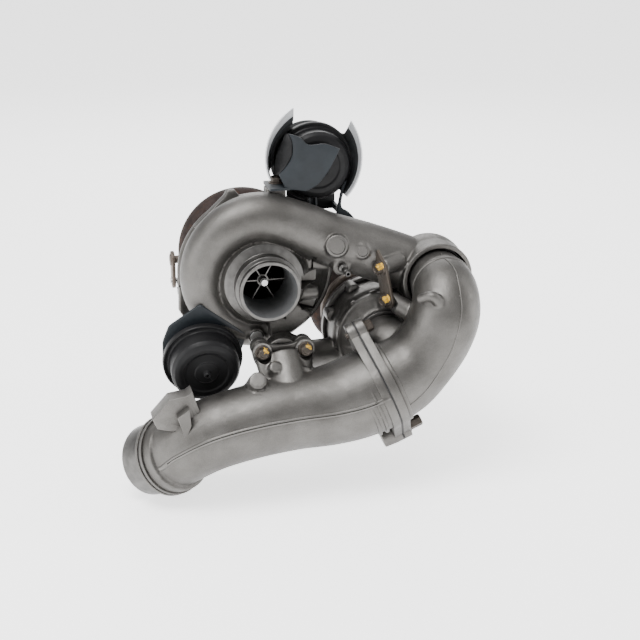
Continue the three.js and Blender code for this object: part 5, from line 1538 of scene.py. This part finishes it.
def lay_floor(centre, height):
    """A pale floor just under the object, with a faint glow of its own."""
    corners = [(x * FLOOR_REACH, y * FLOOR_REACH, 0) for x, y in ((-1, -1), (1, -1), (1, 1), (-1, 1))]
    floor = solid(corners, [(0, 1, 2, 3)])
    floor.name = "floor"
    floor.location = (centre.x, centre.y, height - FLOOR_GAP)
    m = Nodes("pale_floor")
    m.set(0.0, 0.6, (0.9, 0.9, 0.9), specular=0.1)
    m.shader.inputs["Emission Color"].default_value = (1, 1, 1, 1)
    m.shader.inputs["Emission Strength"].default_value = FLOOR_GLOW
    floor.data.materials.append(m.material)


def hang_lights(centre):
    for name, (place, watts, width, height) in LIGHTS.items():
        light = bpy.data.lights.new(name, "AREA")
        light.shape = "RECTANGLE"
        light.size, light.size_y = width, height
        light.energy = watts
        lamp = bpy.data.objects.new(name, light)
        lamp.location = centre + Vector(place)
        lamp.rotation_euler = (centre - lamp.location).to_track_quat("-Z", "Y").to_euler()
        bpy.context.scene.collection.objects.link(lamp)


def surround():
    """A studio that is white at and below the horizon, darkest a little above it, and bright overhead."""
    world = bpy.data.worlds.new("studio")
    bpy.context.scene.world = world
    world.use_nodes = True
    tree = world.node_tree
    background = tree.nodes["Background"]
    direction = tree.nodes.new("ShaderNodeTexCoord").outputs["Generated"]
    split = tree.nodes.new("ShaderNodeSeparateXYZ")
    tree.links.new(direction, split.inputs["Vector"])
    ramp = tree.nodes.new("ShaderNodeValToRGB")
    ramp.color_ramp.interpolation = "EASE"
    stops = [(0.0, 1.0), (0.12, 1.0), (0.3, 0.28), (0.62, 0.55), (1.0, 0.9)]
    while len(ramp.color_ramp.elements) < len(stops):
        ramp.color_ramp.elements.new(0.5)
    for element, (position, value) in zip(ramp.color_ramp.elements, stops):
        element.position = position
        element.color = (value, value, value, 1)
    tree.links.new(split.outputs["Z"], ramp.inputs["Fac"])
    tree.links.new(ramp.outputs["Color"], background.inputs["Color"])
    background.inputs["Strength"].default_value = WORLD_STRENGTH


def set_camera():
    camera = bpy.data.objects.new("camera", bpy.data.cameras.new("camera"))
    bpy.context.scene.collection.objects.link(camera)
    camera.data.lens = CAMERA_LENS
    camera.data.sensor_width = 36
    camera.data.clip_end = 100
    camera.location = CAMERA_AT
    camera.rotation_mode = "QUATERNION"
    camera.rotation_quaternion = (CAMERA_AIM - camera.location).to_track_quat("-Z", "Y")
    bpy.context.scene.camera = camera


def stage():
    low, high = CAD_BOX
    centre = (low + high) / 2
    lay_floor(centre, low.z)
    hang_lights(centre)
    surround()
    set_camera()


# ---------------------------------------------------------------- the whole
large_compressor_housing()
volute_plug()
charge_air_elbow()
outlet_duct()
joint_pieces()
small_pipe_parts()
support_strap()
small_compressor_housing()
small_turbine_housing()
large_turbine_housing()
crossover()
bearing_housing("large", 30, 60, 27, 42, 48, 5, -8, (8, 34), lambda piece: piece)
bearing_housing("small", 22, 50, 22, 36, 42, 4, -7, (7, 28), about_small)
clamp_band("large", 42.3, 48, lambda piece: piece)
clamp_band("small", 36.3, 42, about_small)
clamp_plate()
rotor("large", -38, -8, 21, 28, (63, 90), (30, 25), lambda piece: piece)
rotor("small", -28, -7, 15, 20, (56, 74), (22, 18), about_small)
wastegate()
exhaust_flap()
saddle_bracket()
exhaust_flap_strut()
heat_shield()
kept_pieces()
stage()

bpy.context.view_layer.update()
